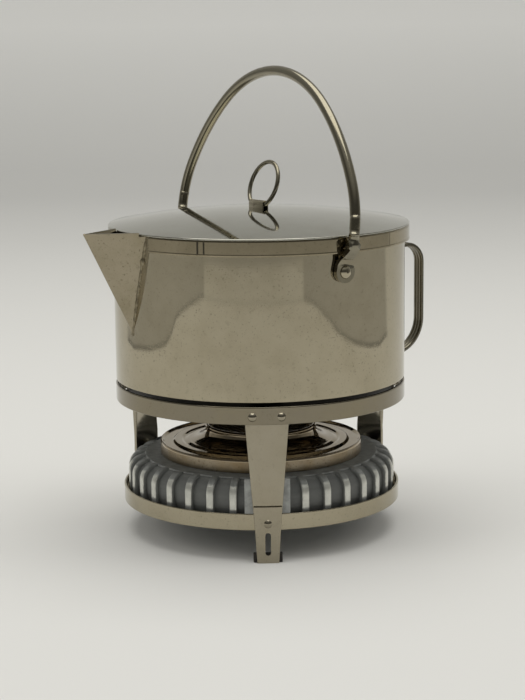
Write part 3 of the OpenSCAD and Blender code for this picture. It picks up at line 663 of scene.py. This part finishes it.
class KettleColours(bpy.types.PropertyGroup):
    plate: colour_of("Nickel plate", "Warm grey plate of the kettle and stand", "#AAA28D")
    stain: colour_of("Stain", "Yellow-brown stain on the plate", "#8C836C")
    bright: colour_of("Bright plate", "Polished plate of the lid", "#B4B3A9")
    band: colour_of("Band plate", "Duller plate of the lid's band", "#A0967F")
    hoop: colour_of("Hoop plate", "Darker plate of the upper hoop", "#867F6F")
    leg: colour_of("Leg plate", "Plate of the legs and feet", "#A09988")
    spout: colour_of("Spout plate", "Darker, yellower plate of the spout", "#9C937F")
    pan: colour_of("Pan plate", "Heated plate of the burner's pan", "#A09480")
    grip: colour_of("Handle plate", "Dark plate of the back handle", "#6C685B")
    rod: colour_of("Rod plate", "Greyer plate of the bail and the lid ring", "#8D8878")
    scorch: colour_of("Scorch", "Brown of heated plate", "#8A7248")
    seam: colour_of("Seam", "Tarnish in the seam of the lid's band", "#4E4A40")
    base: colour_of("Base plate", "Browned plate under the kettle", "#A39A86")
    # painted shade: the black under the kettle's edge, seen in the gap above the upper hoop
    soot: colour_of("Soot", "Soot under the kettle", "#262420")
    paint: colour_of("Burner paint", "Dark grey paint of the burner", "#8A8C89")
    bare: colour_of("Bare rib", "Worn faces of the burner's ribs", "#DCDCD4")
    lug: colour_of("Lug paint", "Paler paint of the plate behind the front leg", "#A3A5A2")
    pad: colour_of("Pad", "Rubber pads under the feet", "#1F1C1A")
    dust: colour_of("Dust", "Dust on the pads", "#4C4842")
    wadding: colour_of("Wadding", "Fibre in the burner", "#A29780")
    burnt: colour_of("Burnt fibre", "Scorched fibre in the burner", "#4A3E30")
    solder: colour_of("Solder", "Solder along the spout", "#9A917A")
    flux: colour_of("Flux", "Brown in the solder", "#5C5240")
    floor: colour_of("Floor", "Pale floor", "#DBDBD9")
    # painted light: paler than the floor, for the climbing paper that the lamps light less
    backdrop: colour_of("Backdrop", "Paler paper behind the kettle", "#F4F4F2")
    room: colour_of("Room", "What polished metal sees past the floor", "#919190")


def sizes():
    return bpy.context.scene.kettle_sizes


def tint(name):
    """One of the panel's colours."""
    return tuple(getattr(bpy.context.scene.kettle_colours, name))


class KETTLE_OT_finishes(bpy.types.Operator):
    """Make the metal, paint, rubber, fibre and solder finishes"""
    bl_idname = "kettle.finishes"
    bl_label = "Finishes"

    def execute(self, context):
        # name, plate, stain, roughness, then how stained, dented, pitted and marked, and a seed
        for name, clean, stain, *rest in (
                ("aged_nickel_plate", "plate", "stain", 0.03, 0.35, 0.2, 0.5, 0.05, 0.0),
                ("leg_nickel_plate", "leg", "stain", 0.12, 0.35, 0.2, 0.4, 0.05, 0.27),
                ("hoop_nickel_plate", "hoop", "stain", 0.1, 0.5, 0.3, 0.5, 0.05, 0.18),
                ("stained_nickel_plate", "plate", "stain", 0.16, 0.9, 0.6, 0.9, 0.3, 0.21),
                ("spout_nickel_plate", "spout", "stain", 0.16, 0.9, 0.6, 0.9, 0.3, 0.21),
                ("dark_nickel_handle", "grip", "stain", 0.18, 0.4, 0.1, 0.5, 0.05, 0.61),
                ("polished_nickel_plate", "bright", "stain", 0.05, 0.2, 0.15, 0.3, 0.05, 0.4),
                ("dull_nickel_band", "band", "stain", 0.08, 0.6, 0.3, 0.6, 0.05, 0.13),
                ("worn_nickel_rod", "rod", "stain", 0.15, 0.5, 0.1, 0.5, 0.05, 0.55),
                ("rough_pan_rim", "pan", "scorch", 0.34, 0.7, 0.3, 0.9, 0.3, 0.37),
                ("scorched_nickel_pan", "pan", "scorch", 0.06, 0.6, 0.1, 0.4, 0.05, 0.33),
                ("tarnished_seam", "seam", "seam", 0.25, 0.5, 0.2, 0.9, 0.05, 0.71)):
            nickel(name, tint(clean), tint(stain), *rest)
        # the base plate, painted black outside 50 mm as the shade in the gap above the upper hoop
        browned_with_painted_shade("sooted_nickel_base", tint("base"), tint("soot"), 50.0)
        painted_casting("painted_burner_casting", tint("paint"), tint("bare"), BURNER_HIGH.x,
                        BURNER_LOW.z + 12.4, BURNER_HIGH.z - 2.2, BURNER_HIGH.z - SHOULDER_R)
        painted_casting("painted_burner_lug", tint("lug"), tint("bare"), 2*BURNER_HIGH.x, 0, 0, 0, worn=0.0)
        rubber("black_rubber", tint("pad"), tint("dust"))
        fibre("mineral_wadding", tint("wadding"), tint("burnt"))
        solder("hand_laid_solder", tint("solder"), tint("flux"))
        return {"FINISHED"}


class KETTLE_OT_body(bpy.types.Operator):
    """Make the kettle's wall, rim bead and base"""
    bl_idname = "kettle.body"
    bl_label = "Kettle body"

    def execute(self, context):
        r, low, high = BODY_R, WALL_LOW.z, WALL_HIGH.z
        section = rounded([(r, low, 0.35), (r, high, 0.2), (r - SHEET, high, 0.2), (r - SHEET, low, 0.3)])
        wall = lathe("kettle_wall_sheet", section, "aged_nickel_plate", steps=sizes().lathe_steps)
        # the V-shaped opening behind the spout
        top, bottom = high - 7.7, SPOUT_HIGH.z - 38.5
        cut_through(wall, [(0, bottom), (8, top), (-8, top)], -r - 4, -r + 4)
        place(wall, "kettle", "nickel_plate", "kettle_wall")
        place(dress("kettle_rim", "polished_nickel_plate"), "kettle", "bright_nickel", "kettle_rim")
        place(dress("kettle_base", "sooted_nickel_base"), "kettle", "nickel_plate", "kettle_base")
        return {"FINISHED"}


def spout_section(z, end_r, inset=0.0):
    """One level cut through the spout's outer face: points from one edge round the fold to the other."""
    lean = tan(radians(26.96))
    half = atan2(tan(radians(30.0))*cos(radians(26.96)), 1.0)
    tip_x, tip_z = -SPOUT_LOW.x, SPOUT_HIGH.z
    apex = -tip_x + lean*(tip_z - z)
    fold = sizes().fold_r
    # side line from the apex: x = apex + t cos(half), y = t sin(half); t_end where it meets end_r
    b = apex*cos(half)
    t_end = -b - sqrt(max(b*b - apex*apex + end_r*end_r, 0.0))
    t_fold = min(fold/tan(half), 0.6*t_end)
    r = t_fold*tan(half)
    centre = apex + r/sin(half)
    out = []
    for i in range(15):
        t = t_end + (t_fold - t_end)*i/14
        out.append((apex + t*cos(half), t*sin(half), z))
    turn = pi/2 - half
    for i in range(1, 9):
        a = turn - 2*turn*i/9
        out.append((centre - r*cos(a), r*sin(a), z))
    for i in range(15):
        t = t_fold + (t_end - t_fold)*i/14
        out.append((apex + t*cos(half), -t*sin(half), z))
    return out


class KETTLE_OT_spout(bpy.types.Operator):
    """Fold the spout from one sheet and lay the solder along its seams"""
    bl_idname = "kettle.spout"
    bl_label = "Spout"

    def execute(self, context):
        top = SPOUT_HIGH.z
        shoulder = WALL_HIGH.z - 0.3
        foot = SPOUT_LOW.z + 0.9
        heights = [foot + (shoulder - foot)*(i/26) for i in range(27)]
        grid = [spout_section(z, BODY_R - 0.1) for z in heights]
        grid += [spout_section(z, 67.65) for z in (shoulder + 0.01, top - 0.45, top)]
        sheet = shell("spout_sheet", grid, "spout_nickel_plate", sharp=50)
        wall = sheet.modifiers.new("sheet", "SOLIDIFY")
        wall.thickness = SHEET*MM
        wall.offset = -1.0
        wall.use_even_offset = True
        normal = sum((p.normal for p in sheet.data.polygons), Vector())
        if normal.x > 0:
            sheet.data.flip_normals()
        break_edges(sheet, 0.22, 3, 50)
        settle(sheet)
        smooth(sheet, 50)
        place(sheet, "kettle", "nickel_plate", "spout")
        # solder: a lumpy round bead on each seam, with one larger drop at the near side
        bead = []
        for side in (1, -1):
            path = []
            for z in [foot - 0.5 + (shoulder - 0.3 - foot)*i/70 for i in range(71)]:
                x, y, z = spout_section(z, BODY_R)[0]
                path.append(Vector((x, side*y, z)))
            rows = []
            for i, p in enumerate(path):
                way = (path[min(i + 1, 70)] - path[max(i - 1, 0)]).normalized()
                out = Vector((p.x, p.y, 0)).normalized()
                across = way.cross(out).normalized()
                lump = 0.75 + 0.6*noise.noise(p*0.55) + 0.25*noise.noise(p*1.9)
                if side == -1:
                    lump += 0.9*max(0.0, 1 - (p - Vector((-64.3, -9.6, 126.6))).length/2.6)
                r = sizes().bead_r*max(0.45, lump)*min(1.0, 0.3 + (70 - i)/3, 0.3 + i/2)
                turns = [2*pi*k/14 for k in range(14)]
                rows.append([p + out*(r*0.62*sin(a)) + across*(r*1.15*cos(a)) for a in turns])
            bead.append(shell("bead", rows, "hand_laid_solder", closed=True, caps=True, sharp=180))
        place(joined("spout_solder", bead), "kettle", "nickel_plate")
        return {"FINISHED"}


class KETTLE_OT_handle(bpy.types.Operator):
    """Finish the reeded back handle"""
    bl_idname = "kettle.handle"
    bl_label = "Back handle"

    def execute(self, context):
        place(dress("back_handle", "dark_nickel_handle", sharp=40), "kettle", "nickel_plate", "back_handle")
        return {"FINISHED"}


BAIL_LEAN, PIVOT_Z = 6.7, 123.3
BOW_ARCS = (((26.0, 16.1), 45.0, 10, 28), ((-21.24, -9.0), 98.5, 28, 52), ((0.0, 18.2), 64.0, 52, 90))


def bail_point(s, h):
    lean = radians(BAIL_LEAN)
    return Vector((h*sin(lean), s, PIVOT_Z + h*cos(lean)))


class KETTLE_OT_bail(bpy.types.Operator):
    """Sweep the bail's rod and finish its hooked eyes and studs"""
    bl_idname = "kettle.bail"
    bl_label = "Bail"

    def execute(self, context):
        half = []
        for (cx, cy), r, a0, a1 in BOW_ARCS:
            count = max(12, int((a1 - a0)*r/110))
            for i in range(count):
                a = radians(a0 + (a1 - a0)*i/count)
                half.append((cx + r*cos(a), cy + r*sin(a)))
        half.append((0.0, BOW_ARCS[-1][0][1] + BOW_ARCS[-1][1]))
        path = half + [(-s, h) for s, h in reversed(half[:-1])]
        curve = bpy.data.curves.new("bail_bow", "CURVE")
        curve.dimensions = "3D"
        line = curve.splines.new("POLY")
        line.points.add(len(path) - 1)
        for point, (s, h) in zip(line.points, path):
            point.co = (*(bail_point(s, h)*MM), 1.0)
        bow = shown("bail_bow", curve)
        tree, named = rod_tree()
        bow = run_tree(tree, named, {"Radius": 2.25*MM, "Sides": 40,
                                     "Finish": bpy.data.materials["worn_nickel_rod"]}, "bail_bow", bow)
        place(bow, "bail", "nickel_plate", "bail")
        place(dress("bail_hooks", "worn_nickel_rod", sharp=38), "bail", "nickel_plate", "bail_hooks")
        place(dress("bail_studs", "aged_nickel_plate"), "kettle", "bright_nickel", "bail_studs")
        return {"FINISHED"}


class KETTLE_OT_lid(bpy.types.Operator):
    """Turn the lid's dome and band, and finish its strap and ring"""
    bl_idname = "kettle.lid"
    bl_label = "Lid"

    def execute(self, context):
        steps = sizes().lathe_steps
        top, edge_z, high = LID_HIGH.z, WALL_HIGH.z + SHEET, WALL_HIGH.z
        edge_r = LID_HIGH.x - 0.4
        rise = top - edge_z
        ball = (edge_r*edge_r + rise*rise)/(2*rise)
        radii = [edge_r*(1 - i/30) for i in range(31)]
        outer = [(r, top - ball + sqrt(ball*ball - r**2)) for r in radii]
        under = [(r, z - SHEET) for r, z in reversed(outer) if r < BODY_R - 0.7]
        edge = [(BODY_R - 0.6, high), (edge_r, high)]
        for i in range(9):
            a = radians(-90 + 170*i/8)
            edge.append((edge_r + 0.42*cos(a) - 0.02, high + 0.42 + 0.42*sin(a)))
        dome = lathe("lid_dome", outer + under + edge, "polished_nickel_plate", steps=steps, sharp=40)
        place(dome, "lid", "bright_nickel", "lid_top")
        r, low = BAND_HIGH.x - 0.1, BAND_LOW.z
        # a plain sheet with a small bead along its lower edge
        band = rounded([(r - 0.7, low, 0.2), (r - 0.25, low, 0.25), (r + 0.1, low + 0.05, 0.3),
                        (r + 0.1, low + 0.8, 0.3), (r, low + 1.0, 0.2), (r, high - 0.6, 0.2),
                        (r - 0.12, high - 0.02, 0.1), (r - 0.7, high - 0.02, 0.1)])
        notch = degrees(asin(16.1/r))
        skirt = lathe("lid_band_sheet", band, "dull_nickel_band", 180 + notch, 540 - notch, steps)
        # the band's lapped and soldered seam shows as two dark lines on the left of the front, and
        # there is one more line on the right: degrees round from the camera, and half widths
        strip = [(r - 0.1, low + 1.0), (r + 0.03, low + 1.0), (r + 0.03, high - 0.5), (r - 0.1, high - 0.5)]
        lines = []
        for turn, half_w in ((-22.3, 0.36), (-19.9, 0.32), (56.3, 0.1)):
            at = CAMERA_SIDE + turn
            lines.append(lathe("line", strip, "tarnished_seam", at - half_w, at + half_w, 2))
        place(joined("lid_band_seam", lines), "lid", "nickel_plate")
        place(skirt, "lid", "nickel_plate", "lid_band")
        place(dress("ring_strap", "aged_nickel_plate", bevel=0.1), "lid", "nickel_plate", "ring_strap")
        place(dress("lid_ring", "worn_nickel_rod", sharp=60), "ring", "nickel_plate", "lid_ring")
        return {"FINISHED"}


class KETTLE_OT_stand(bpy.types.Operator):
    """Turn the hoops and finish the legs, foot plates, pads and rests"""
    bl_idname = "kettle.stand"
    bl_label = "Stand"

    def execute(self, context):
        steps = sizes().lathe_steps
        r, low, high = TOP_HOOP_HIGH.x, TOP_HOOP_LOW.z, TOP_HOOP_HIGH.z
        hoop = rounded([(r - 1.4, low, 0.25), (r, low, 0.35), (r, high, 0.45), (r - 1.4, high, 0.3)])
        made = lathe("upper_hoop_band", hoop, "hoop_nickel_plate", steps=steps)
        place(made, "stand", "nickel_plate", "upper_hoop")
        r, low, high = LOW_HOOP_HIGH.x, LOW_HOOP_LOW.z, LOW_HOOP_HIGH.z
        hoop = rounded([(r - 7, low, 0.2), (r, low, 0.35), (r, high, 0.3), (r - 1, high, 0.3),
                        (r - 1, low + 1, 0.4), (r - 7, low + 1, 0.2)])
        made = lathe("lower_hoop_band", hoop, "aged_nickel_plate", steps=steps)
        place(made, "stand", "nickel_plate", "lower_hoop")
        leg_low, leg_high = (corner/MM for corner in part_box("leg_right"))
        foot_low, foot_high = (corner/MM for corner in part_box("foot_right"))
        sheet, foot_top, leg_r = 1.2, foot_high.z, leg_high.x
        guide_r, guide_low, guide_bend, guide_half = leg_r - sheet, LOW_HOOP_HIGH.z + 0.2, 36.0, 9.7
        tab_reach, tab_half, tab_low, tab_top = 7.0, 4.3, 61.5, 62.5
        slot_half, slot_low, slot_top = 1.2, 3.4, 13.3
        slot = rounded([(-slot_half, slot_low, slot_half - 0.05), (slot_half, slot_low, slot_half - 0.05),
                        (slot_half, slot_top, slot_half - 0.05), (-slot_half, slot_top, slot_half - 0.05)])
        leg_widths = [(leg_low.z, 4.75), (foot_top, 6.35), (TOP_HOOP_LOW.z, 9.2), (leg_high.z, 9.2)]
        foot_widths = [(foot_low.z, 4.7), (foot_top, 6.1)]
        for side, turn in (("right", 0), ("left", 120), ("front", 240)):
            leg = strap("leg_strap_" + side, turn, guide_r, leg_r, leg_widths, "leg_nickel_plate")
            cut_through(leg, slot, 60, 67, turn)
            place(leg, "stand", "nickel_plate", "leg_" + side)
            foot = strap("foot_plate_" + side, turn, leg_r, foot_high.x, foot_widths, "leg_nickel_plate")
            cut_through(foot, slot, 60, 67, turn)
            place(foot, "stand", "nickel_plate", "foot_" + side)
            # behind each leg: a guide plate and the tab that holds the kettle. The front one is painted,
            # and narrower than its leg above its wide low part.
            front = side == "front"
            half, bend_z = (6.0, 36.4) if front else (7.7, 61.0)
            finish = "painted_burner_lug" if front else "leg_nickel_plate"
            widths = [(guide_low, guide_half), (guide_bend, guide_half), (bend_z, half), (leg_high.z, half)]
            guide = strap("guide", turn, guide_r - sheet, guide_r, widths, finish)
            widths = [(tab_low, tab_half), (tab_top, tab_half)]
            tab = strap("tab", turn, guide_r - tab_reach, guide_r, widths, finish)
            place(joined("kettle_guide_" + side, [guide, tab]), "stand", "nickel_plate", "kettle_rests")
        place(dress("foot_pads", "black_rubber", bevel=0.4), "stand", "dark_pad", "foot_pads")
        return {"FINISHED"}


def rivet(name, seat_r, turn, z, head_d, head_h, grip, finish):
    """One rivet through the stand's sheets: its domed head stands on seat_r."""
    half = head_d/2
    ball = (half*half + head_h*head_h)/(2*head_h)
    line = [(0.0, head_h)]
    for i in range(1, 9):
        x = half*i/8
        line.append((x, head_h - ball + sqrt(ball*ball - x*x)))
    line += [(half*0.97, -0.04), (0.9, -0.05), (0.9, -grip)]
    # the tail is hammered over
    line += [(head_d*0.42, -grip), (head_d*0.34, -grip - 0.32)]
    line += [(head_d*0.2, -grip - 0.48), (0.0, -grip - 0.52)]
    rows = []
    steps = 24
    for i in range(steps + 1):
        a = 2*pi*i/steps
        rows.append([(seat_r + h, x*cos(a), z + x*sin(a)) for x, h in line])
    made = shell(name, rows, finish, sharp=50)
    made.data.transform(Matrix.Rotation(radians(turn), 4, "Z"))
    return made


class KETTLE_OT_rivets(bpy.types.Operator):
    """Set the rivets round both hoops"""
    bl_idname = "kettle.rivets"
    bl_label = "Rivets"

    def execute(self, context):
        spread, hoop_z, foot_z = 6.15, 63.5, 17.2
        half = degrees(asin(spread/BODY_R))
        finish = "leg_nickel_plate"
        pair = [rivet("rivet", TOP_HOOP_HIGH.x, side*half, hoop_z, sizes().hoop_rivet_d, 1.0, 3.8, finish)
                for side in (-1, 1)]
        hoop = set_round(joined("rivet_pair", pair), 3, 0, finish, "hoop_rivets_set")
        place(hoop, "stand", "bright_nickel", "hoop_rivets")
        foot_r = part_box("foot_right")[1].x/MM
        one = rivet("foot_rivet", foot_r, 0, foot_z, sizes().foot_rivet_d, 0.8, 3.2, finish)
        place(set_round(one, 3, 0, finish, "foot_rivets_set"), "stand", "bright_nickel", "foot_rivets")
        return {"FINISHED"}


def burner_outline(inset, top_inset=None):
    """The burner's half outline in mm from its underside to its top, inset from the ribs' faces. The
    inset can fade to another one over the shoulder."""
    fade = 0.0 if top_inset is None else inset - top_inset
    r, low, high = BURNER_HIGH.x - inset, BURNER_LOW.z + inset, BURNER_HIGH.z - inset
    line = [(BASE_HOLE_R, low), (r - 12.2, low)]
    line += [(r - 12.2 + 12.2*sin(radians(a)), low + 12.2 - 12.2*cos(radians(a))) for a in range(8, 91, 8)]
    line += [(r, low + 12.2), (r, high - SHOULDER_R)]
    line += [(r - SHOULDER_R + (SHOULDER_R + fade*a/90)*cos(radians(a)),
              high - SHOULDER_R + (SHOULDER_R + fade*a/90)*sin(radians(a))) for a in range(9, 91, 9)]
    return line


class KETTLE_OT_burner(bpy.types.Operator):
    """Turn the burner's shell, set its ribs, and make its pan, collar, wadding and gauze"""
    bl_idname = "kettle.burner"
    bl_label = "Burner"

    def execute(self, context):
        steps = sizes().lathe_steps
        proud = sizes().rib_proud
        high = BURNER_HIGH.z
        outer = burner_outline(proud, 0.6)
        top = [(53.0, high - 0.6), (52.4, high), (40.6, high), (40.6, high - proud - 2)]
        inner = [(r, z) for r, z in reversed(burner_outline(proud + 2)) if r > BASE_HOLE_R]
        body = lathe("burner_shell", outer + top + inner + [(BASE_HOLE_R, BURNER_LOW.z + proud + 2)],
                     "painted_burner_casting", steps=steps)
        # one rib: the outline swept across a rounded section, from inside the shell to its bare face
        width = sizes().rib_w/2
        line = burner_outline(0.0)[1:]
        base = burner_outline(proud + 0.6, 1.2)[1:]
        line.append((52.6, line[-1][1]))
        base.append((52.6, base[-1][1]))
        grid = []
        for (r, z), (br, bz) in zip(line, base):
            steps_out = Vector((r - br, z - bz))
            reach = steps_out.length
            way = steps_out/reach
            row = [(br, -width, bz)]
            for i in range(5):
                a = radians(22.5*i)
                d = reach - 0.6 + 0.6*sin(a)
                row.append((br + way.x*d, -width + 0.6 - 0.6*cos(a), bz + way.y*d))
            for i in range(5):
                a = radians(90 - 22.5*i)
                d = reach - 0.6 + 0.6*sin(a)
                row.append((br + way.x*d, width - 0.6 + 0.6*cos(a), bz + way.y*d))
            row.append((br, width, bz))
            grid.append(row)
        rib = shell("rib", grid, "painted_burner_casting", closed=True, caps=True, sharp=50)
        ribs = set_round(rib, sizes().rib_count, 6.0, "painted_burner_casting", "burner_ribs")
        place(ribs, "burner", "dark_casting", "burner_body")
        place(body, "burner", "dark_casting", "burner_body")
        place(dress("burner_base", "painted_burner_casting"), "burner", "dark_casting", "burner_base")
        pan_r, pan_z = PAN_HIGH.x, BURNER_HIGH.z + 6.0
        flare = 33.0
        low = pan_z - 0.2
        climb = COLLAR_HIGH.z - 1.9 - low
        face = [(pan_r - 0.2, pan_z - 0.1), (pan_r - 0.45, pan_z + 0.0), (pan_r - 0.8, pan_z - 0.15),
                (pan_r - 1.6, pan_z - 0.9), (pan_r - 5.4, pan_z - 0.9), (pan_r - 5.8, pan_z - 0.8),
                (pan_r - 6.4, pan_z - 0.2), (pan_r - 6.8, pan_z - 0.1), (pan_r - 9.4, pan_z - 0.1),
                (pan_r - 9.9, pan_z - 0.25), (pan_r - 10.4, pan_z - 0.65), (pan_r - 10.9, pan_z - 0.7)]
        for a in range(0, 91, 9):
            face.append((flare + (25.1 - flare)*sin(radians(a)), low + climb*(1 - cos(radians(a)))))
        back = [(r, z - 0.8) for r, z in reversed(face) if r < pan_r - 1.6]
        skirt = [(pan_r - 0.8, pan_z - 1.2), (pan_r, pan_z - 1.2), (pan_r, pan_z - 0.45)]
        pan = lathe("burner_pan_sheet", face + back + skirt, "scorched_nickel_pan", steps=steps, sharp=40)
        place(pan, "burner", "bright_nickel", "burner_pan")
        foot_z = BURNER_HIGH.z + 0.02
        rim = [(pan_r - 0.8, pan_z - 1.2), (pan_r - 0.8, foot_z), (pan_r - 0.25, foot_z),
               (pan_r, foot_z + 0.25), (pan_r, pan_z - 1.2)]
        rim = lathe("burner_pan_rim", rim, "rough_pan_rim", steps=steps)
        place(rim, "burner", "bright_nickel", "burner_pan")
        r, low, high = COLLAR_HIGH.x - 0.3, COLLAR_LOW.z, COLLAR_HIGH.z
        tube = [(r - 1.2, low), (r, low), (r, high - 1.4)]
        for a in range(-40, 221, 20):
            tube.append((r - 0.6 + 0.9*cos(radians(a)), high - 0.9 + 0.9*sin(radians(a))))
        tube.append((r - 1.2, high - 1.6))
        collar = lathe("burner_collar_tube", tube, "scorched_nickel_pan", steps=steps, sharp=50)
        place(collar, "burner", "bright_nickel", "burner_collar")
        place(dress("burner_cup", "stained_nickel_plate"), "burner", "nickel_plate", "burner_cup")
        # the wadding bulges a little under the gauze
        cup_r, seat, low = 22.9, GAUZE_LOW.z - 0.3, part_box("burner_wick")[0].z/MM
        turns = [(cos(2*pi*k/72), sin(2*pi*k/72)) for k in range(72)]
        rings = []
        for i in range(25):
            r = cup_r*(1 - i/24)
            dip = seat - 0.5*(r/cup_r)**4 - 0.25
            swell = 0.5*min(1.0, (cup_r - r)/3)
            rings.append([(r*x, r*y, dip + swell*noise.noise(Vector((r*x*0.35, r*y*0.35, 3.1))))
                          for x, y in turns])
        sides = [[(cup_r*x, cup_r*y, z) for x, y in turns] for z in (low, seat - 1.2)]
        grid = [[(0, 0, low)]*72] + sides + rings
        wick = shell("burner_wadding", grid, "mineral_wadding", closed=True, sharp=60)
        place(wick, "burner", "wadding", "burner_wick")
        tree, named = gauze_tree()
        mid = (GAUZE_LOW.z + GAUZE_HIGH.z)/2
        values = {"Disc radius": cup_r*MM, "Pitch": sizes().gauze_pitch*MM, "Wire radius": 0.27*MM,
                  "Height": mid*MM, "Finish": bpy.data.materials["stained_nickel_plate"]}
        gauze = run_tree(tree, named, values, "burner_gauze_wires")
        place(gauze, "burner", "nickel_plate", "burner_gauze")
        rim = lathe("burner_gauze_rim", rounded([(22.3, GAUZE_LOW.z, 0.15), (23.8, GAUZE_LOW.z, 0.15),
                                                 (23.8, GAUZE_HIGH.z, 0.15), (22.3, GAUZE_HIGH.z, 0.15)]),
                    "stained_nickel_plate", steps=96)
        place(rim, "burner", "nickel_plate", "burner_gauze")
        return {"FINISHED"}


class KETTLE_OT_stage(bpy.types.Operator):
    """Lay the pale floor and backdrop, hang the soft lights and set the camera"""
    bl_idname = "kettle.stage"
    bl_label = "Stage"

    def execute(self, context):
        scene = context.scene
        floor_paper("pale_floor_paper", tint("floor"), tint("backdrop"), tint("room"))
        # a paper sweep: flat under the kettle, curving up behind it
        profile = [(-4.0, 0.0), (-2.0, 0.0), (0.0, 0.0), (1.6, 0.0)]
        profile += [(1.6 + 1.4*sin(radians(a)), 1.4 - 1.4*cos(radians(a))) for a in range(9, 91, 9)]
        profile += [(3.0, 4.0)]
        bm = bmesh.new()
        rows = [[bm.verts.new((along, across, up)) for across in (-4.0, -2.0, 0.0, 2.0, 4.0)]
                for along, up in profile]
        for one, two in zip(rows, rows[1:]):
            for j in range(4):
                bm.faces.new((one[j], two[j], two[j + 1], one[j + 1]))
        bmesh.ops.rotate(bm, verts=bm.verts, matrix=Matrix.Rotation(radians(CAMERA_SIDE + 180), 3, "Z"))
        for face in bm.faces:
            face.normal_update()
        mesh = bpy.data.meshes.new("paper_sweep")
        bm.to_mesh(mesh)
        bm.free()
        if mesh.polygons[0].normal.z < 0:
            mesh.flip_normals()
        mesh.shade_smooth()
        mesh.materials.append(bpy.data.materials["pale_floor_paper"])
        sweep = shown("paper_sweep", mesh)

        world = bpy.data.worlds.new("studio_room")
        scene.world = world
        world.use_nodes = True
        tree = world.node_tree
        tree.nodes.clear()
        way = add(tree, "ShaderNodeTexCoord").outputs["Generated"]
        axes = facing(tree, way)
        light = add(tree, "ShaderNodeLightPath").outputs
        # metal sees a darker room in front of the kettle than behind and above it
        ahead = sums(tree, "MULTIPLY_ADD", axes["X"], 0.5, 0.5)
        front = ramp(tree, ahead, (0.3, linear("#B9B9B4")), (0.62, linear("#6E6D69")))
        above = mixed(tree, ramp(tree, axes["Z"], (0.45, 0.0), (0.8, 1.0)), front, linear("#C8C8C4"))
        seen = mixed(tree, light["Is Glossy Ray"], linear("#D6D5D1"), above)
        ground = add(tree, "ShaderNodeBackground", {"Color": seen, "Strength": 0.65})
        add(tree, "ShaderNodeOutputWorld", {"Surface": ground.outputs[0]})

        def lamp(name, at, aim, width, power, mirrored=False):
            data = bpy.data.lights.new(name, "AREA")
            data.shape = "SQUARE"
            data.size = width
            data.energy = power
            data.color = linear("#FFFDF8")[:3]
            made = shown(name, data)
            made.location = at
            made.rotation_euler = (Vector(aim) - Vector(at)).to_track_quat("-Z", "Y").to_euler()
            made.visible_glossy = mirrored
            return made

        lamp("overhead_softbox", (0.1, 0.1, 1.7), (0, 0, 0), 1.6, 17.0, mirrored=True)
        lamp("left_softbox", (-1.6, 0.5, 1.1), (0, 0, 0.1), 1.0, 6.4)
        lamp("right_softbox", (1.2, -0.9, 1.2), (0, 0, 0.1), 0.9, 4.3)

        camera = bpy.data.cameras.new("camera")
        camera.sensor_fit = "VERTICAL"
        camera.sensor_height = 36.0
        camera.lens = FOCAL_PX*camera.sensor_height/FRAME_H
        camera.clip_start = 0.05
        camera.clip_end = 50
        ahead = Vector((-VIEW_FROM.x, -VIEW_FROM.y, 0)).normalized()
        ahead.rotate(Matrix.Rotation(-radians(VIEW_YAW), 3, "Z"))
        down = radians(VIEW_DOWN)
        forward = ahead*cos(down) - Vector((0, 0, sin(down)))
        right = forward.cross(Vector((0, 0, 1))).normalized()
        up = right.cross(forward).normalized()
        roll = radians(VIEW_ROLL)
        right, up = right*cos(roll) - up*sin(roll), up*cos(roll) + right*sin(roll)
        held = shown("camera", camera)
        turn = Matrix((right, up, -forward)).transposed().to_4x4()
        held.matrix_world = Matrix.Translation(VIEW_FROM*MM) @ turn
        scene.camera = held
        scene.view_settings.view_transform = "Standard"
        return {"FINISHED"}


class KETTLE_PT_panel(bpy.types.Panel):
    """Lists the kettle's pieces and settings"""
    bl_idname = "KETTLE_PT_panel"
    bl_label = "Spirit kettle"
    bl_space_type = "VIEW_3D"
    bl_region_type = "UI"
    bl_category = "Kettle"

    def draw(self, context):
        for settings in (context.scene.kettle_sizes, context.scene.kettle_colours):
            box = self.layout.box()
            for name in settings.bl_rna.properties.keys():
                if name not in ("rna_type", "name"):
                    box.prop(settings, name)
        for step in STEPS:
            self.layout.operator(step.bl_idname)


STEPS = (KETTLE_OT_finishes, KETTLE_OT_body, KETTLE_OT_spout, KETTLE_OT_handle, KETTLE_OT_bail, KETTLE_OT_lid,
         KETTLE_OT_stand, KETTLE_OT_rivets, KETTLE_OT_burner, KETTLE_OT_stage)
CLASSES = (KettleSizes, KettleColours, *STEPS, KETTLE_PT_panel)


def register():
    for made in CLASSES:
        bpy.utils.register_class(made)
    bpy.types.Scene.kettle_sizes = bpy.props.PointerProperty(type=KettleSizes)
    bpy.types.Scene.kettle_colours = bpy.props.PointerProperty(type=KettleColours)


def unregister():
    del bpy.types.Scene.kettle_colours
    del bpy.types.Scene.kettle_sizes
    for made in reversed(CLASSES):
        bpy.utils.unregister_class(made)


def main():
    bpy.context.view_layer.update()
    register()
    bpy.ops.kettle.finishes()
    bpy.ops.kettle.body()
    bpy.ops.kettle.spout()
    bpy.ops.kettle.handle()
    bpy.ops.kettle.bail()
    bpy.ops.kettle.lid()
    bpy.ops.kettle.stand()
    bpy.ops.kettle.rivets()
    bpy.ops.kettle.burner()
    bpy.ops.kettle.stage()


if __name__ == "__main__":
    main()
